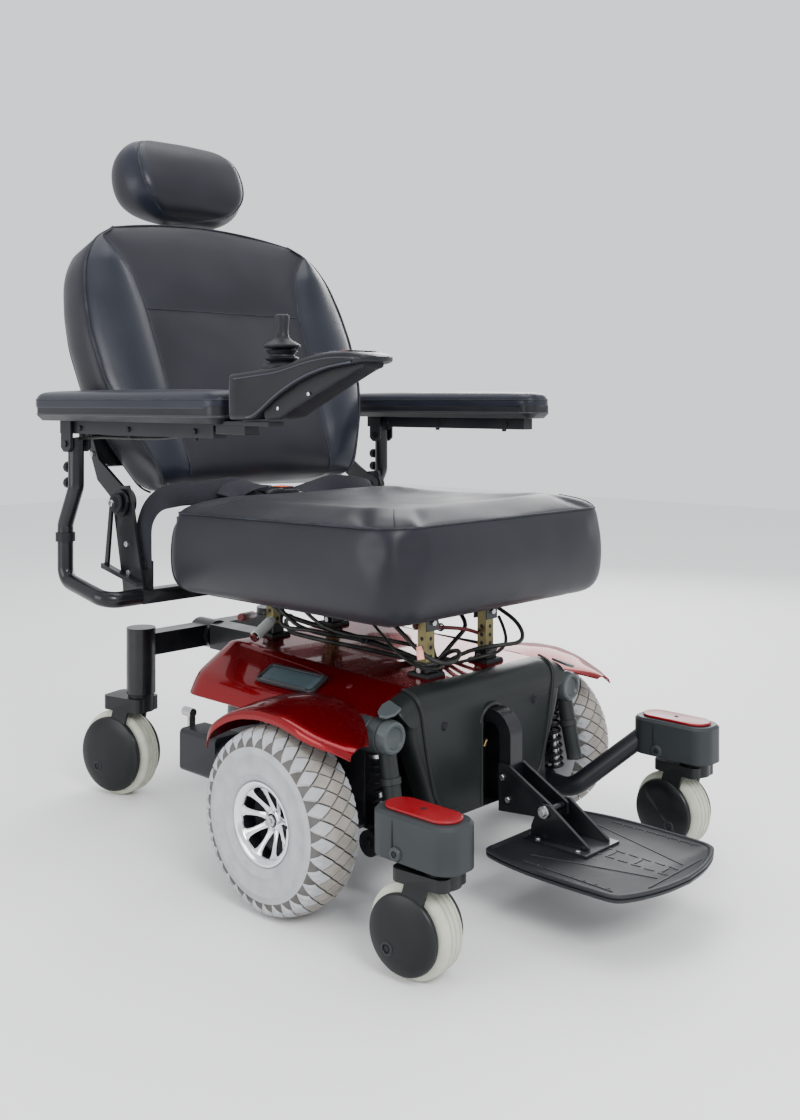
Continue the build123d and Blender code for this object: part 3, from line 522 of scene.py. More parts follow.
# ---- cushions -------------------------------------------------------------------------------------
SWELL_FRAMES = 20


def even_loop(dense, count):
    """A closed polygon resampled to evenly spaced points."""
    lengths = [(dense[(k + 1) % len(dense)] - dense[k]).length for k in range(len(dense))]
    total, out, k, run = sum(lengths), [], 0, 0.0
    for step in range(count):
        goal = total * step / count
        while run + lengths[k] < goal:
            run += lengths[k]
            k += 1
        out.append(dense[k].lerp(dense[(k + 1) % len(dense)], (goal - run) / max(lengths[k], 1e-9)))
    return out


def plan_loop(centre_x, half, front, rear, front_r, rear_r, z, count, pull=0.0):
    """A rounded rectangle in plan that starts at the middle of its rear; pull draws its sides in."""
    dense = [Vector((centre_x, rear, z))]
    for sx, y, radius, start in ((1, rear, rear_r, 90), (1, front, front_r, 0), (-1, front, front_r, -90),
                                 (-1, rear, rear_r, -180)):
        radius = max(0.5, min(radius, half - 1, (rear - front) / 2 - 1))
        cx, cy = centre_x + sx * (half - radius), y - radius if y == rear else y + radius
        for k in range(9):
            angle = math.radians(start - 90 * k / 8)
            dense.append(Vector((cx + radius * math.cos(angle), cy + radius * math.sin(angle), z)))
    middle = (front + rear) / 2
    loop = even_loop(dense, count)
    for p in loop:
        across, along = (p.x - centre_x) / half, (p.y - middle) / ((rear - front) / 2)
        p.x -= pull * across * (1 - along * along)
        p.y -= pull * along * (1 - across * across)
    return [mm(*p) for p in loop]


def zip_cap(first, count, flip):
    """Quads across a symmetric loop that starts on its own middle line."""
    faces = []
    for k in range(count // 2):
        face = [first + k, first + k + 1, first + (count - k - 1) % count, first + (count - k) % count]
        face = list(dict.fromkeys(face))
        if len(face) > 2:
            faces.append(tuple(face[::-1] if flip else face))
    return faces


def inflate(verts, faces, pinned, pressure, cap):
    """Swells a closed skin by Cloth pressure, held along its pinned seams; returns the new points."""
    mesh = bpy.data.meshes.new("swelling")
    mesh.from_pydata([tuple(v) for v in verts], [], faces)
    work = bmesh.new()
    work.from_mesh(mesh)
    bmesh.ops.recalc_face_normals(work, faces=work.faces)
    work.to_mesh(mesh)
    work.free()
    obj = bpy.data.objects.new("swelling", mesh)
    bpy.context.scene.collection.objects.link(obj)
    obj.vertex_groups.new(name="seams").add(sorted(pinned), 1.0, "REPLACE")
    cloth = obj.modifiers.new("cloth", "CLOTH")
    settings = cloth.settings
    settings.quality, settings.mass, settings.time_scale = 6, 0.3, 0.7
    settings.tension_stiffness = settings.compression_stiffness = 14
    settings.shear_stiffness, settings.bending_stiffness = 8, 3
    settings.use_pressure, settings.uniform_pressure_force = True, pressure
    settings.vertex_group_mass, settings.pin_stiffness = "seams", 1.0
    settings.effector_weights.gravity = 0
    cloth.collision_settings.use_collision = False
    cloth.collision_settings.use_self_collision = False
    cloth.point_cache.frame_start, cloth.point_cache.frame_end = 1, SWELL_FRAMES
    scene = bpy.context.scene
    for number in range(1, SWELL_FRAMES + 1):
        scene.frame_set(number)
    swollen = obj.evaluated_get(bpy.context.evaluated_depsgraph_get()).data
    out = []
    for point, vertex in zip(verts, swollen.vertices):
        move = vertex.co - point
        out.append(point + move * min(1.0, mm(cap) / max(move.length, 1e-9)))
    scene.frame_set(1)
    bpy.data.objects.remove(obj)
    bpy.data.meshes.remove(mesh)
    return out


def crease_noise(points, seed, depth, scale):
    """Small soft dents, the same each run."""
    shift = Vector((seed * 3.1, seed * 1.7, seed * 5.3))
    return [p + Vector((noise.noise(p * scale + shift), noise.noise(p * scale + shift + X * 9),
                        noise.noise(p * scale + shift + Y * 9))) * mm(depth) for p in points]


def upholster(name, skin, seams, body, node, swell, dents, materials=FABRIC, pick=None, rounds=1):
    """A padded form from a closed skin held along its seams; returns its swollen points.

    swell is (pressure, cap in millimetres) and dents is (seed, depth in millimetres, scale)."""
    verts, faces = skin
    verts = inflate(verts, faces, seams, *swell)
    free = crease_noise(verts, *dents)
    verts = [old if k in seams else new for k, (old, new) in enumerate(zip(verts, free))]
    obj = piece(name, verts, faces, body, materials, node, "upholstery", pick, 75)
    subdivide = obj.modifiers.new("smooth", "SUBSURF")
    subdivide.levels = subdivide.render_levels = rounds
    return verts


def cushion(name, loops, seams, body, node, swell, depth=1.2, materials=FABRIC):
    """A padded form over stacked symmetric loops; returns its swollen loops."""
    count = len(loops[0])
    verts, faces = rings(loops, caps=False)
    faces += zip_cap(0, count, True) + zip_cap((len(loops) - 1) * count, count, False)
    dents = (len(name), depth, 16)
    verts = upholster(name, (verts, faces), seams, body, node, swell, dents, materials)
    return [verts[k * count:(k + 1) * count] for k in range(len(loops))]


def seat():
    """A box cushion with a welt round its top and its bottom and mitred corners."""
    count, front, rear, half = 176, -296, 192, 254
    bottom_welt, widest, welt = 2, 9, 13  # rows of the levels
    levels = [  # height, inset, side pull, pinned
        (404, 78, 0, 1), (397, 58, 0, 0), (394, 40, 0, 1), (395, 22, 2, 0), (401, 9, 4, 0), (413, 1, 6, 0),
        (430, -3, 7, 0), (450, -4, 7, 0), (466, -4, 7, 0), (482, -3, 6, 0), (498, -1, 5, 0), (510, 1, 4, 0),
        (519, 3, 3, 0), (525, 5, 2, 1), (530, 8, 2, 0), (536, 14, 1, 0), (540, 24, 0, 0), (541, 36, 0, 0),
        (540, 50, 0, 0), (537, 66, 0, 0), (533, 84, 0, 0), (530, 104, 0, 0), (528, 128, 0, 0),
        (527, 156, 0, 0), (526, 190, 0, 0), (526, 226, 0, 0)]
    loops, seams = [], set()
    for row, (z, inset, pull, pinned) in enumerate(levels):
        radius_front, radius_rear = max(20, 52 - inset * 0.4), max(14, 26 - inset * 0.2)
        loop = plan_loop(0, half - inset, front + inset, rear - inset, radius_front, radius_rear, z, count,
                         pull)
        for p in loop:
            rise = mm(-4 + 8 * (mm(rear) - p.y) / mm(rear - front)) if z > 500 else 0
            dish = mm(3) * (1 - abs(p.x) / mm(half)) if row > welt + 1 else 0
            p.z += rise - dish
        if pinned:
            seams |= set(range(row * count, (row + 1) * count))
        loops.append(loop)
    skin = cushion("seat_pad", loops, seams, "root", "seat_cushion", (3.5, 13))
    soft_line("seat_welt", loops[welt], 1.7, THREAD, "root", cyclic=True)
    soft_line("seat_bottom_welt", loops[bottom_welt], 1.6, THREAD, "root", cyclic=True)
    for name, side in SIDES.items():
        front_corner = max(range(count), key=lambda k: side * loops[widest][k].x - loops[widest][k].y)
        mitre = [row[front_corner] + Z * mm(0.2) for row in skin[welt:welt + 6]]
        soft_line(f"seat_mitre_{name}", mitre, 1.1, THREAD, "root")
        rear_corner = max(range(count), key=lambda k: side * loops[widest][k].x + loops[widest][k].y)
        down = [row[rear_corner] for row in skin[bottom_welt + 1:welt]]
        soft_line(f"seat_rear_seam_{name}", down, 1.2, THREAD, "root")


FOOT = mm(0, 243, 565)  # the lower edge of the backrest, on its front face
UP, REARWARD = Vector((0, 0.3665, 0.9304)), Vector((0, 0.9304, -0.3665))


def on_back(x, up, deep):
    """A point of the leaning backrest: across, up along it and deep into it, in millimetres."""
    return FOOT + X * mm(x) + UP * mm(up) + REARWARD * mm(deep)


def arch(x, up):
    """How far the top edge of the backrest is raised, in millimetres."""
    start = min(1.0, max(0.0, (up - 330) / 130))
    return 23 * start * start * (3 - 2 * start) * max(0.0, 1 - (x / 218) ** 2)


def blend_table(table, value):
    """Straight interpolation through a short list of (key, value)."""
    if value <= table[0][0]:
        return table[0][1]
    for (a, left), (b, right) in zip(table, table[1:]):
        if value <= b:
            t = (value - a) / (b - a)
            return left + (right - left) * t
    return table[-1][1]


def curve_table(table, value, reach=14):
    """The table averaged a little, so that its corners round off."""
    samples = [blend_table(table, value + reach * k / 3) for k in range(-3, 4)]
    return sum(samples) / len(samples)


BACK_WIDTH = [(0, 214), (60, 246), (120, 276), (176, 294), (265, 302), (330, 297), (385, 285), (420, 268),
              (445, 248), (458, 228), (467, 204), (473, 186)]
BACK_SEAM = [(0, 160), (118, 168), (240, 173), (320, 178), (380, 190), (410, 203), (435, 222), (452, 238),
             (473, 246)]
BACK_HEIGHT = 473
CROSS_SEAM_UP = 314
PANEL_COLUMNS, BOLSTER_COLUMNS, REAR_COLUMNS = 12, 6, 12
FRONT_COUNT = 2 * (PANEL_COLUMNS + BOLSTER_COLUMNS) + 1


def back_section(width, seam, front, rear, bolster, up, crown):
    """One closed section of the backrest at a height, with the columns of its seams."""
    inner = [seam * k / PANEL_COLUMNS for k in range(-PANEL_COLUMNS, PANEL_COLUMNS + 1)]
    outer = [seam + (width - seam) * k / BOLSTER_COLUMNS for k in range(1, BOLSTER_COLUMNS + 1)]

    def bolster_at(x):
        """How deep the bolster's face is at x: it swells forward of the panel."""
        t = (x - seam) / max(width - seam, 1)
        return front - bolster * math.sin(math.pi * min(1, t * 0.9 + 0.08)) * (1 - 0.4 * t)

    line = [(-x, bolster_at(x)) for x in outer[::-1]]
    line += [(x, front + crown * (1 - (x / seam) ** 2)) for x in inner]
    line += [(x, bolster_at(x)) for x in outer]
    side = [(width + out, front + (rear - front) * share)
            for out, share in ((3, 0.2), (5, 0.45), (3, 0.7), (-4, 0.9))]
    line += side
    marks = {"edge": (0, FRONT_COUNT - 1),
             "inner": (BOLSTER_COLUMNS, FRONT_COUNT - 1 - BOLSTER_COLUMNS),
             "back_edge": (len(line), len(line) + REAR_COLUMNS)}
    rear_half = width - 12
    line += [(rear_half * (1 - 2 * k / REAR_COLUMNS), rear) for k in range(REAR_COLUMNS + 1)]
    line += [(-x, deep) for x, deep in side[::-1]]
    return [on_back(x, up + arch(x, up), deep) for x, deep in line], marks


def backrest():
    """The padded back: a panel between two bolsters, with a cross seam and piping."""
    heights = [0, 5, 12, 24, 38, *(38 + 12 * k for k in range(1, 33)), 431, 440, 448, 455, 462, 468,
               BACK_HEIGHT]
    loops, seams = [], set()
    for row, up in enumerate(heights):
        width, seam = curve_table(BACK_WIDTH, up), curve_table(BACK_SEAM, up)
        width -= 10 * max(0, 1 - up / 14) ** 2
        seam = min(seam, width - 7)
        ease = min(1.0, up / 30, (481 - up) / 26)
        squeeze = 1 - math.sqrt(max(0, 1 - (1 - ease) ** 2))
        front, rear = 2 + 34 * squeeze, 84 - 30 * squeeze
        bolster = 20 * min(1, up / 90) * min(1, max(0, 468 - up) / 70)
        lumbar = -10 * math.exp(-((up - 120) / 90) ** 2)
        loop, marks = back_section(width, seam, front, rear, bolster, up, lumbar * ease)
        base = row * len(loop)
        low_edge, high_edge = marks["inner"]
        seams |= {base + k for k in (*marks["edge"], *marks["back_edge"])}
        if up < 458:
            seams |= {base + low_edge, base + high_edge}
        if abs(up - CROSS_SEAM_UP) < 7:
            seams |= set(range(base + low_edge, base + high_edge + 1))
        loops.append(loop)
    count = len(loops[0])
    top = (len(loops) - 1) * count
    seams |= set(range(top, top + FRONT_COUNT)) | set(range(FRONT_COUNT))

    def glossy(face):
        column = face % count
        return 1 if column < low_edge or high_edge <= column < FRONT_COUNT + 3 else 0

    upholster("backrest_pad", rings(loops), seams, "backrest", "back_cushion", (3.5, 14), (4, 1.4, 14),
              [FABRIC, GLOSS_FABRIC], glossy)
    for hand, (name, side) in zip((1, 0), SIDES.items()):
        edge, inner, rear_edge = marks["edge"][hand], marks["inner"][hand], marks["back_edge"][1 - hand]
        tuck = -REARWARD * mm(0.2) - X * side * mm(2.6)
        for line, points, radius in (
            ("piping", [loop[edge] + tuck for loop in loops[1:-1]], 2.2),
            ("seam", [loop[inner] - REARWARD * mm(1.5) for loop in loops[2:-2]], 1.5),
            ("rear_piping", [loop[rear_edge] for loop in loops[1:-1]], 1.8),
        ):
            soft_line(f"back_{line}_{name}", points, radius, THREAD, "backrest")
    cross = min(range(len(heights)), key=lambda k: abs(heights[k] - CROSS_SEAM_UP))
    panel = [p - REARWARD * mm(0.6) for p in loops[cross][low_edge:high_edge + 1]]
    soft_line("back_cross_seam", panel, 1.1, THREAD, "backrest")
    crest = [p - Z * mm(1.4) for p in loops[-2][:FRONT_COUNT]]
    soft_line("back_top_piping", crest, 1.8, THREAD, "backrest")


def headrest():
    """A pillow with a front panel inside a welt, wrapped round to its back."""
    columns, steps, middle_up, half_height = 9, 18, 601, 75
    welt_end = 1 + 2 * columns  # the column of the welt's far side; its near side is column 1
    loops, seams = [], set()
    for row in range(steps + 1):
        up = 526 + 150 * (1 - math.cos(math.pi * row / steps)) / 2
        t = (up - middle_up) / half_height
        full = math.sqrt(max(0.0, 1 - abs(t) ** 2.7))
        width = 66 + 75 * full - (6 if t > 0 else 0) * abs(t)
        panel = width * 0.86
        front, rear = 30 - 38 * full, 62 + 34 * full
        line = [(-width, (front * 2 + rear) / 3), (-panel, front + 5)]
        for k in range(1 - columns, columns):
            line.append((panel * (k / columns), front - 7 * (1 - (k / columns) ** 2) * full))
        line += [(panel, front + 5), (width, (front * 2 + rear) / 3), (width + 1, (front + rear * 2) / 3)]
        line += [((width - 16) * (1 - k / 8), rear) for k in range(17)]
        line += [(-width - 1, (front + rear * 2) / 3)]
        count = len(line)
        seams |= {row * count + 1, row * count + welt_end}
        loops.append([on_back(x, up, deep) for x, deep in line])
    top = (len(loops) - 1) * count
    seams |= set(range(1, welt_end + 1)) | set(range(top + 1, top + welt_end + 1))
    upholster("headrest_pad", rings(loops), seams, "headrest", "headrest_cushion", (3.0, 8),
              (6, 0.8, 18),
              [FABRIC, GLOSS_FABRIC],
              lambda face: 1 if face % count in (0, 1, welt_end - 1, welt_end) else 0, 2)
    welt = [loop[1] for loop in loops] + loops[-1][2:welt_end]
    welt += [loop[welt_end] for loop in loops[::-1]] + loops[0][2:welt_end][::-1]
    middle = on_back(0, middle_up, 6)
    welt = [middle + (p - middle) * 0.978 for p in welt]
    soft_line("headrest_welt", welt, 2.0, THREAD, "headrest", cyclic=True)


def arm_pads():
    """Both armrest pads, each inside its CAD pad's box."""
    count = 120
    for name in SIDES:
        low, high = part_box(f"arm_pad_{name}")
        x, half = (low.x + high.x) * 500, (high.x - low.x) * 500 - 1
        front, rear = low.y * 1000 + 1, high.y * 1000 - 1
        z0, z1 = low.z * 1000 - 6, high.z * 1000
        levels = [(z0, 12, 1), (z0, 3, 1), (z0 + 2, 0.6, 0), (z0 + 7, 0, 0), (z0 + 12, 0, 0),
                  (z0 + 15, 0.4, 1),
                  (z0 + 19, 1.6, 0), (z1 - 5, 4, 0), (z1 - 2, 8, 0), (z1 - 0.4, 15, 0), (z1, 25, 0)]
        loops, seams = [], set()
        for row, (z, inset, pinned) in enumerate(levels):
            loop = plan_loop(x, half - inset, front + inset, rear - inset, max(6, 24 - inset * 0.6),
                             max(5, 16 - inset * 0.5), z, count)
            if pinned:
                seams |= set(range(row * count, (row + 1) * count))
            loops.append(loop)
        body = f"armrest_{name}"
        cushion(f"arm_pad_soft_{name}", loops, seams, body, f"arm_pad_{name}", (2.0, 2.5), 0.3,
                GLOSS_FABRIC)
        soft_line(f"arm_pad_seam_{name}", loops[5], 1.0, THREAD, body, cyclic=True)


# ---- drive wheels ---------------------------------------------------------------------------------
WHEEL_R = 127.0
PITCHES = 34
BLOCK_RISE = 4.2
# painted shade: these casing faces take the darker groove rubber
CROWN_COLUMNS = range(4, 14)  # the casing's rows of faces between the tread blocks


def tread_point(hub, outward, angle, s, lift):
    """A point on the tyre: s runs 0 at the crown to 1 at the shoulder and on down the sidewall."""
    over = max(0.0, abs(s) - 1)
    along = (36 * min(abs(s), 1) + 11 * over) * (1 if s > 0 else -1)
    radius = WHEEL_R - BLOCK_RISE + lift - 9 * min(abs(s), 1) ** 2.3 - 38 * over
    return hub + outward * mm(along) + round_x(angle) * mm(radius)


def tread_block(hub, outward, angle, s, half_s, lift):
    """A diamond block that follows the tyre, as verts and faces."""
    pitch = 2 * math.pi / PITCHES
    ring = [(-0.45, 0), (-0.24, 0.5), (-0.03, 1), (0.03, 1), (0.24, 0.5), (0.45, 0), (0.24, -0.5),
            (0.03, -1),
            (-0.03, -1), (-0.24, -0.5)]
    top = [tread_point(hub, outward, angle + a * pitch * 0.93, s + b * half_s * 0.94, lift) for a,
           b in ring]
    foot = [tread_point(hub, outward, angle + a * pitch, s + b * half_s, -1.0) for a, b in ring]
    middle = tread_point(hub, outward, angle, s, lift + 0.2)
    count = len(ring)
    faces = [(2 * count, k, (k + 1) % count) for k in range(count)]
    faces += [(k, count + k, count + (k + 1) % count, (k + 1) % count) for k in range(count)]
    return top + foot + [middle], faces


def drive_tyre(name, side):
    """The grey tyre: a turned casing with rows of diamond blocks over its crown and shoulders."""
    hub, outward = joint_at(f"drive_spin_{name}"), X * side
    body = f"drive_wheel_{name}"
    profile = [(-34, 57.6), (-38.5, 64), (-40.2, 78), (-40, 92), (-38.6, 103), (-35.5, 112.2), (-30, 117.0),
               (-20, 120.4), (-10, 122.3), (0, 122.8), (10, 122.3), (20, 120.4), (30, 117.0), (35.5, 112.2),
               (38.6, 103), (39.8, 95.5), (40.6, 94.6), (40.6, 93.4), (39.9, 92.6), (40.2, 78),
               (39.6, 70.5),
               (40.3, 69.6), (40.1, 67.8), (38.8, 66.5), (37.5, 61), (34, 57.6)]
    steps = 120
    piece(f"tyre_casing_{name}", *turned(profile, hub, outward, steps, wrap=True), body, [SIDEWALL, GROOVE_SHADE],
          f"drive_tyre_{name}", "tyre_grey", lambda face: int(face // steps in CROWN_COLUMNS), smooth=50)
    crown, shoulder = [], []
    pitch = 2 * math.pi / PITCHES
    for k in range(PITCHES):
        for row in (-1, 0, 1):
            angle = pitch * (k + (0.5 if row else 0.0))
            crown.append(tread_block(hub, outward, angle, row * 0.42, 0.385, BLOCK_RISE))
        for row in (-1, 1):
            shoulder.append(tread_block(hub, outward, pitch * k, row * 0.86, 0.40, BLOCK_RISE))
    piece(f"tread_crown_{name}", *merged(*crown), body, TREAD, (), "tyre_grey", smooth=28)
    piece(f"tread_shoulder_{name}", *merged(*shoulder), body, SIDEWALL, (), "tyre_grey", smooth=28)


def drive_rim(name, side):
    """The nine-spoke rim with its lip, barrel, hub nut, wheel bolts and valve."""
    hub, outward = joint_at(f"drive_spin_{name}"), X * side
    body = f"drive_wheel_{name}"
    lip = [(22, 57.2), (33, 57.4), (35.2, 56.2), (35.6, 54.5), (34.2, 51.5), (31.5, 48.2), (29, 46.6),
           (25, 46.2),
           (22, 48)]
    piece(f"rim_lip_{name}", *turned(lip, hub, outward, 96, wrap=True), body, SILVER, f"drive_rim_{name}",
          "rim_silver", smooth=40)
    barrel = [(-36, 57.2), (23, 57.2), (23, 53), (2, 51), (-4, 44), (-6, 20), (-6, 10), (-46.5, 9.6),
              (-46.5, 6),
              (-12, 6), (-12, 48), (-36, 52)]
    piece(f"rim_barrel_{name}", *turned(barrel, hub, outward, 72, wrap=True), body, BLACK, (), "rim_silver",
          smooth=40)
    stations = [  # radius, half width, distance outward, thickness
        (48.6, 14.5, 29.5, 5), (46.0, 8.6, 28.6, 5), (42, 5.4, 26.6, 4.6), (35, 4.0, 22.6, 4.4),
                (27, 3.7, 18, 4.4),
        (20, 4.4, 14.6, 5), (14, 6.0, 13, 6)]
    section = ((-1, -0.9), (1, -0.9), (1, -0.25), (0.55, 0.1), (-0.55, 0.1), (-1, -0.25))
    spokes = []
    for angle in round_angles(9, 0.2):
        radial = round_x(angle)
        across = outward.cross(radial)
        loops = []
        for radius, width, along, thick in stations:
            spine = hub + radial * mm(radius) + outward * mm(along)
            loops.append([spine + across * mm(width * a) + outward * mm(thick * b) for a, b in section])
        spokes.append(rings(loops))
    piece(f"rim_spokes_{name}", *merged(*spokes), body, SILVER, (), "rim_silver", smooth=45)
    core = [(-8, 17), (10, 17), (13, 15.5), (14.5, 13), (14.5, 9.5), (8, 9), (-8, 9)]
    piece(f"rim_core_{name}", *turned(core, hub, outward, 48, wrap=True), body, SILVER, (), "rim_silver")
    nut = merged(turned([(6, 8.4), (17, 8.4), (18.2, 7.4)], hub, outward, 6),
                 turned([(6, 4), (20, 4), (21, 3.2)], hub, outward, 20))
    soften(piece(f"hub_nut_{name}", *nut, body, STEEL, (), "rim_silver", smooth=25), 0.4)
    bolts = [turned([(8, 2.6), (15.5, 2.6), (16.2, 2.0)], hub + round_x(angle) * mm(12.2), outward, 6)
             for angle in round_angles(5, 0.5)]
    piece(f"hub_bolts_{name}", *merged(*bolts), body, STEEL, (), "rim_silver", smooth=25)
    valve = turned([(26, 2.6), (38, 2.4), (38.5, 1.4)], hub + Y * mm(-50.5) + Z * mm(8), outward, 16)
    piece(f"valve_{name}", *valve, body, SOFT_BLACK, (), "rim_silver")


# ---- casters --------------------------------------------------------------------------------------
def caster(which, name, radius):
    """A grooved caster wheel, its fork and the domed covers over the axle's ends."""
    body, hub = f"{which}_wheel_{name}", joint_at(f"{which}_roll_{name}")
    axle = Vector(JOINTS[f"{which}_roll_{name}"]["axis"]).normalized()
    if axle.x * SIDES[name] < 0:
        axle = -axle
    hub_r, half = radius * 0.58, 20.5
    groove = []
    for middle in (-9, 0, 9):
        groove += [(middle - 1.3, radius - 0.1), (middle - 0.8, radius - 1.6), (middle + 0.8, radius - 1.6),
                   (middle + 1.3, radius - 0.1)]
    side_wall = [(half - 2, hub_r), (half, hub_r + 3), (half, radius - 12), (half - 1.6, radius - 6.5),
                 (half - 5, radius - 2.2), (14, radius - 0.3)]
    tyre = [(-along, out) for along, out in side_wall] + groove + side_wall[::-1]
    piece(f"{which}_tyre_{name}", *turned(tyre, hub, axle, 96, wrap=True), body, CASTER_RUBBER, body,
          "caster_rubber", smooth=50)
    flange = [(half + 1.8, 6.1), (half + 1.8, 13), (half - 3.5, 17), (half - 4, hub_r - 4),
              (half - 2.6, hub_r - 1.5), (half - 2.6, hub_r)]
    core = [(-along, out) for along, out in flange] + flange[::-1]
    piece(f"{which}_hub_{name}", *turned(core, hub, axle, 64, wrap=True), body, GREY, (), "caster_rubber")
    fork_body = f"{which}_fork_{name}"
    dressed(fork_body, CASTER_BLACK, 1.4)
    disc = [(0.6, radius - 9.6), (4.6, radius - 9.4), (6.4, radius - 10.6), (8.6, radius - 16),
            (11.6, radius - 30), (12.6, 0.5)]
    ring = [(9.4, 8.6), (12.4, 8.4), (13.4, 7.4), (13.4, 5.9), (12.2, 5.2), (9.2, 5.0)]
    hexagon = [(0, 4.4), (12.0, 4.4), (12.6, 3.8), (12.6, 0.4)]
    aside = axle.cross(Z).normalized() * mm(0.30 * radius) - Z * mm(0.30 * radius)
    for hand, end in ((-1, "inner"), (1, "outer")):
        out = axle * hand
        base = hub + out * mm(half + 4) + out * mm(0.2)
        for part, shape, material, smooth in (
            ("cover", turned(disc, base, out, 72), CASTER_BLACK, 30),
            ("cover_hole", turned(ring, base + aside, out, 32, wrap=True), BLACK, 35),
            ("cover_bolt", turned(hexagon, base + aside, out, 6), SOFT_BLACK, 35),
        ):
            piece(f"{which}_{part}_{name}_{end}", *shape, fork_body, material, (), "cover_plastic",
                  smooth=smooth)


def front_head(name, side):
    """The plastic caster head with its parting line, bolt ears and red inset."""
    body = f"front_arm_{name}"
    dressed(f"front_head_{name}", GREY, 3.0, 4)
    low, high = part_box(f"front_head_{name}")
    x, half = (low.x + high.x) / 2, (high.x - low.x) / 2
    dressed(f"head_inset_{name}", RED_GLOSS, 1.6, 3)
    inset_low, inset_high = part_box(f"head_inset_{name}")
    # painted shade: the small hole in the inset is a dark disc
    hole = turned([(0.2, 3.6), (0.7, 3.2), (0.7, 0.3)],
                  Vector((x, (inset_low.y + inset_high.y) / 2, inset_high.z)), Z, 24)
    piece(f"inset_hole_shade_{name}", *hole, body, SOFT_BLACK, (), "screws")
    foot, shoulder, crest = low.z + mm(3), high.z - mm(7), high.z - mm(0.4)
    split = [Vector((x + dx * (half + mm(0.1)), high.y - mm(44), z)) for dx, z in (
        (-1, foot), (-1, shoulder), (-0.86, crest), (0.86, crest), (1, shoulder), (1, foot))]
    soft_line(f"head_parting_{name}", split, 1.5, SOFT_BLACK, body)
    for hand in (-1, 1):
        end = "outer" if hand * side > 0 else "inner"
        at = Vector((x + hand * half, high.y - mm(44) - mm(6), low.z + mm(9.5)))
        ear = turned([(-6, 9), (1.6, 9), (2.8, 8.2), (3.4, 6.6), (3.4, 4.2), (2, 3.9), (2, 0.4)], at,
                     X * hand, 40)
        piece(f"head_ear_{name}_{end}", *ear, body, GREY, (), "grey_plastic")
        bolt = turned([(0, 2.8), (3.2, 2.8), (3.6, 2.3), (3.6, 0.4)], at, X * hand, 6)
        piece(f"head_bolt_{name}_{end}", *bolt, body, SOFT_BLACK, (), "screws")


def swept(points, radius, steps=12):
    """A round tube mesh along points, with a frame carried along them."""
    loops, normal = [], None
    for k, point in enumerate(points):
        ahead = (points[min(k + 1, len(points) - 1)] - points[max(k - 1, 0)]).normalized()
        if normal is None:
            normal = ahead.orthogonal().normalized()
        normal = (normal - ahead * normal.dot(ahead)).normalized()
        side = ahead.cross(normal)
        ways = [normal * math.cos(a) + side * math.sin(a) for a in round_angles(steps)]
        loops.append([point + way * radius for way in ways])
    return rings(loops)


def suspension(name, side):
    """The front arm, its coil spring and the spring's guide."""
    dressed(f"front_arm_{name}", BLACK, 1.0)
    low, high = mm(side * 200, -228, 106), mm(side * 200, -216, 216)
    axis = (high - low).normalized()
    out = axis.orthogonal().normalized()
    other = axis.cross(out)
    turns, per_turn = 10, 20
    coil = []
    for k in range(turns * per_turn + 1):
        t = k / (turns * per_turn)
        rise = 0.03 + 0.94 * (0.5 - 0.5 * math.cos(math.pi * t)) * 0.25 + 0.705 * t
        angle = 2 * math.pi * turns * t
        coil.append(low.lerp(high, rise) + (out * math.cos(angle) + other * math.sin(angle)) * mm(10.8))
    spring = piece(f"coil_spring_{name}", *swept(coil, mm(2.1), 10), "root", SOFT_BLACK,
                   f"shock_spring_{name}",
                   "spring_steel", smooth=60)
    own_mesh(spring)
    damper = merged(turned([(4, 7), (60, 7), (62, 5.5)], low, axis, 24),
                    turned([(-2, 12.5), (3, 12.5)], high - axis * mm(4), axis, 24))
    piece(f"spring_guide_{name}", *damper, "root", STEEL, (), "spring_steel")


def strut_head(name, side):
    """The strut above the spring: its barrel, cap, tube, collar and flap."""
    centre = mm(side * 206, -194, 243)
    barrel = [(-22, 0.5), (-22, 24), (-20, 25.4), (24, 25.4), (25, 24.4), (27, 24.4), (28, 25.2),
              (42, 24.4), (43, 22)]
    piece(f"strut_body_{name}", *turned(barrel, centre, -Y, 64), "root", GREY,
          "strut_heads" if side > 0 else (), "grey_plastic")
    cap = [(42, 21.5), (45, 23.6), (54, 23.2), (58.4, 21.4), (59.8, 18.6), (59.2, 15.6), (56.4, 13.4),
           (55.4, 8),
           (55.2, 0.4)]
    piece(f"strut_cap_{name}", *turned(cap, centre, -Y, 64), "root", CAP_GREY, (), "grey_plastic",
          smooth=28)
    path = [mm(side * x, y, z) for x, y, z in (
        (206, -236, 240), (206, -240, 215), (206.5, -246, 185), (207, -252, 155), (208, -257, 130))]
    soft_line(f"strut_tube_{name}", path, 12.6, COVER, "root")
    collar = turned([(0, 12.5), (1, 14), (9, 14), (10, 12.5)], mm(side * 206.4, -245, 190), (0, -0.2, -1),
                    40)
    piece(f"strut_collar_{name}", *collar, "root", COVER, (), "grey_plastic")
    outline = [mm(side * x, y, z) for x, y, z in (
        (189, -226, 284), (203, -225, 280), (216, -230, 274.5), (222, -239, 271), (219, -249, 270.5),
        (207, -254, 273), (192, -252, 278))]
    flap = rings([outline, [p + mm(0, 0, 4.2) for p in outline]])
    soften(piece(f"strut_flap_{name}", *flap, "root", CAP_GREY, (), "grey_plastic"), 1.4, 3)


# ---- covers ---------------------------------------------------------------------------------------
def rounded_path(points, radii, steps=6):
    """A 2-D path whose corners are eased by about the given radii."""
    out = [Vector(points[0])]
    for k in range(1, len(points) - 1):
        before, at, after = Vector(points[k - 1]), Vector(points[k]), Vector(points[k + 1])
        reach = min(radii[k - 1], (at - before).length / 2, (after - at).length / 2)
        start, end = at + (before - at).normalized() * reach, at + (after - at).normalized() * reach
        for j in range(steps + 1):
            t = j / steps
            out.append(start * (1 - t) ** 2 + at * 2 * t * (1 - t) + end * t ** 2)
    return out + [Vector(points[-1])]


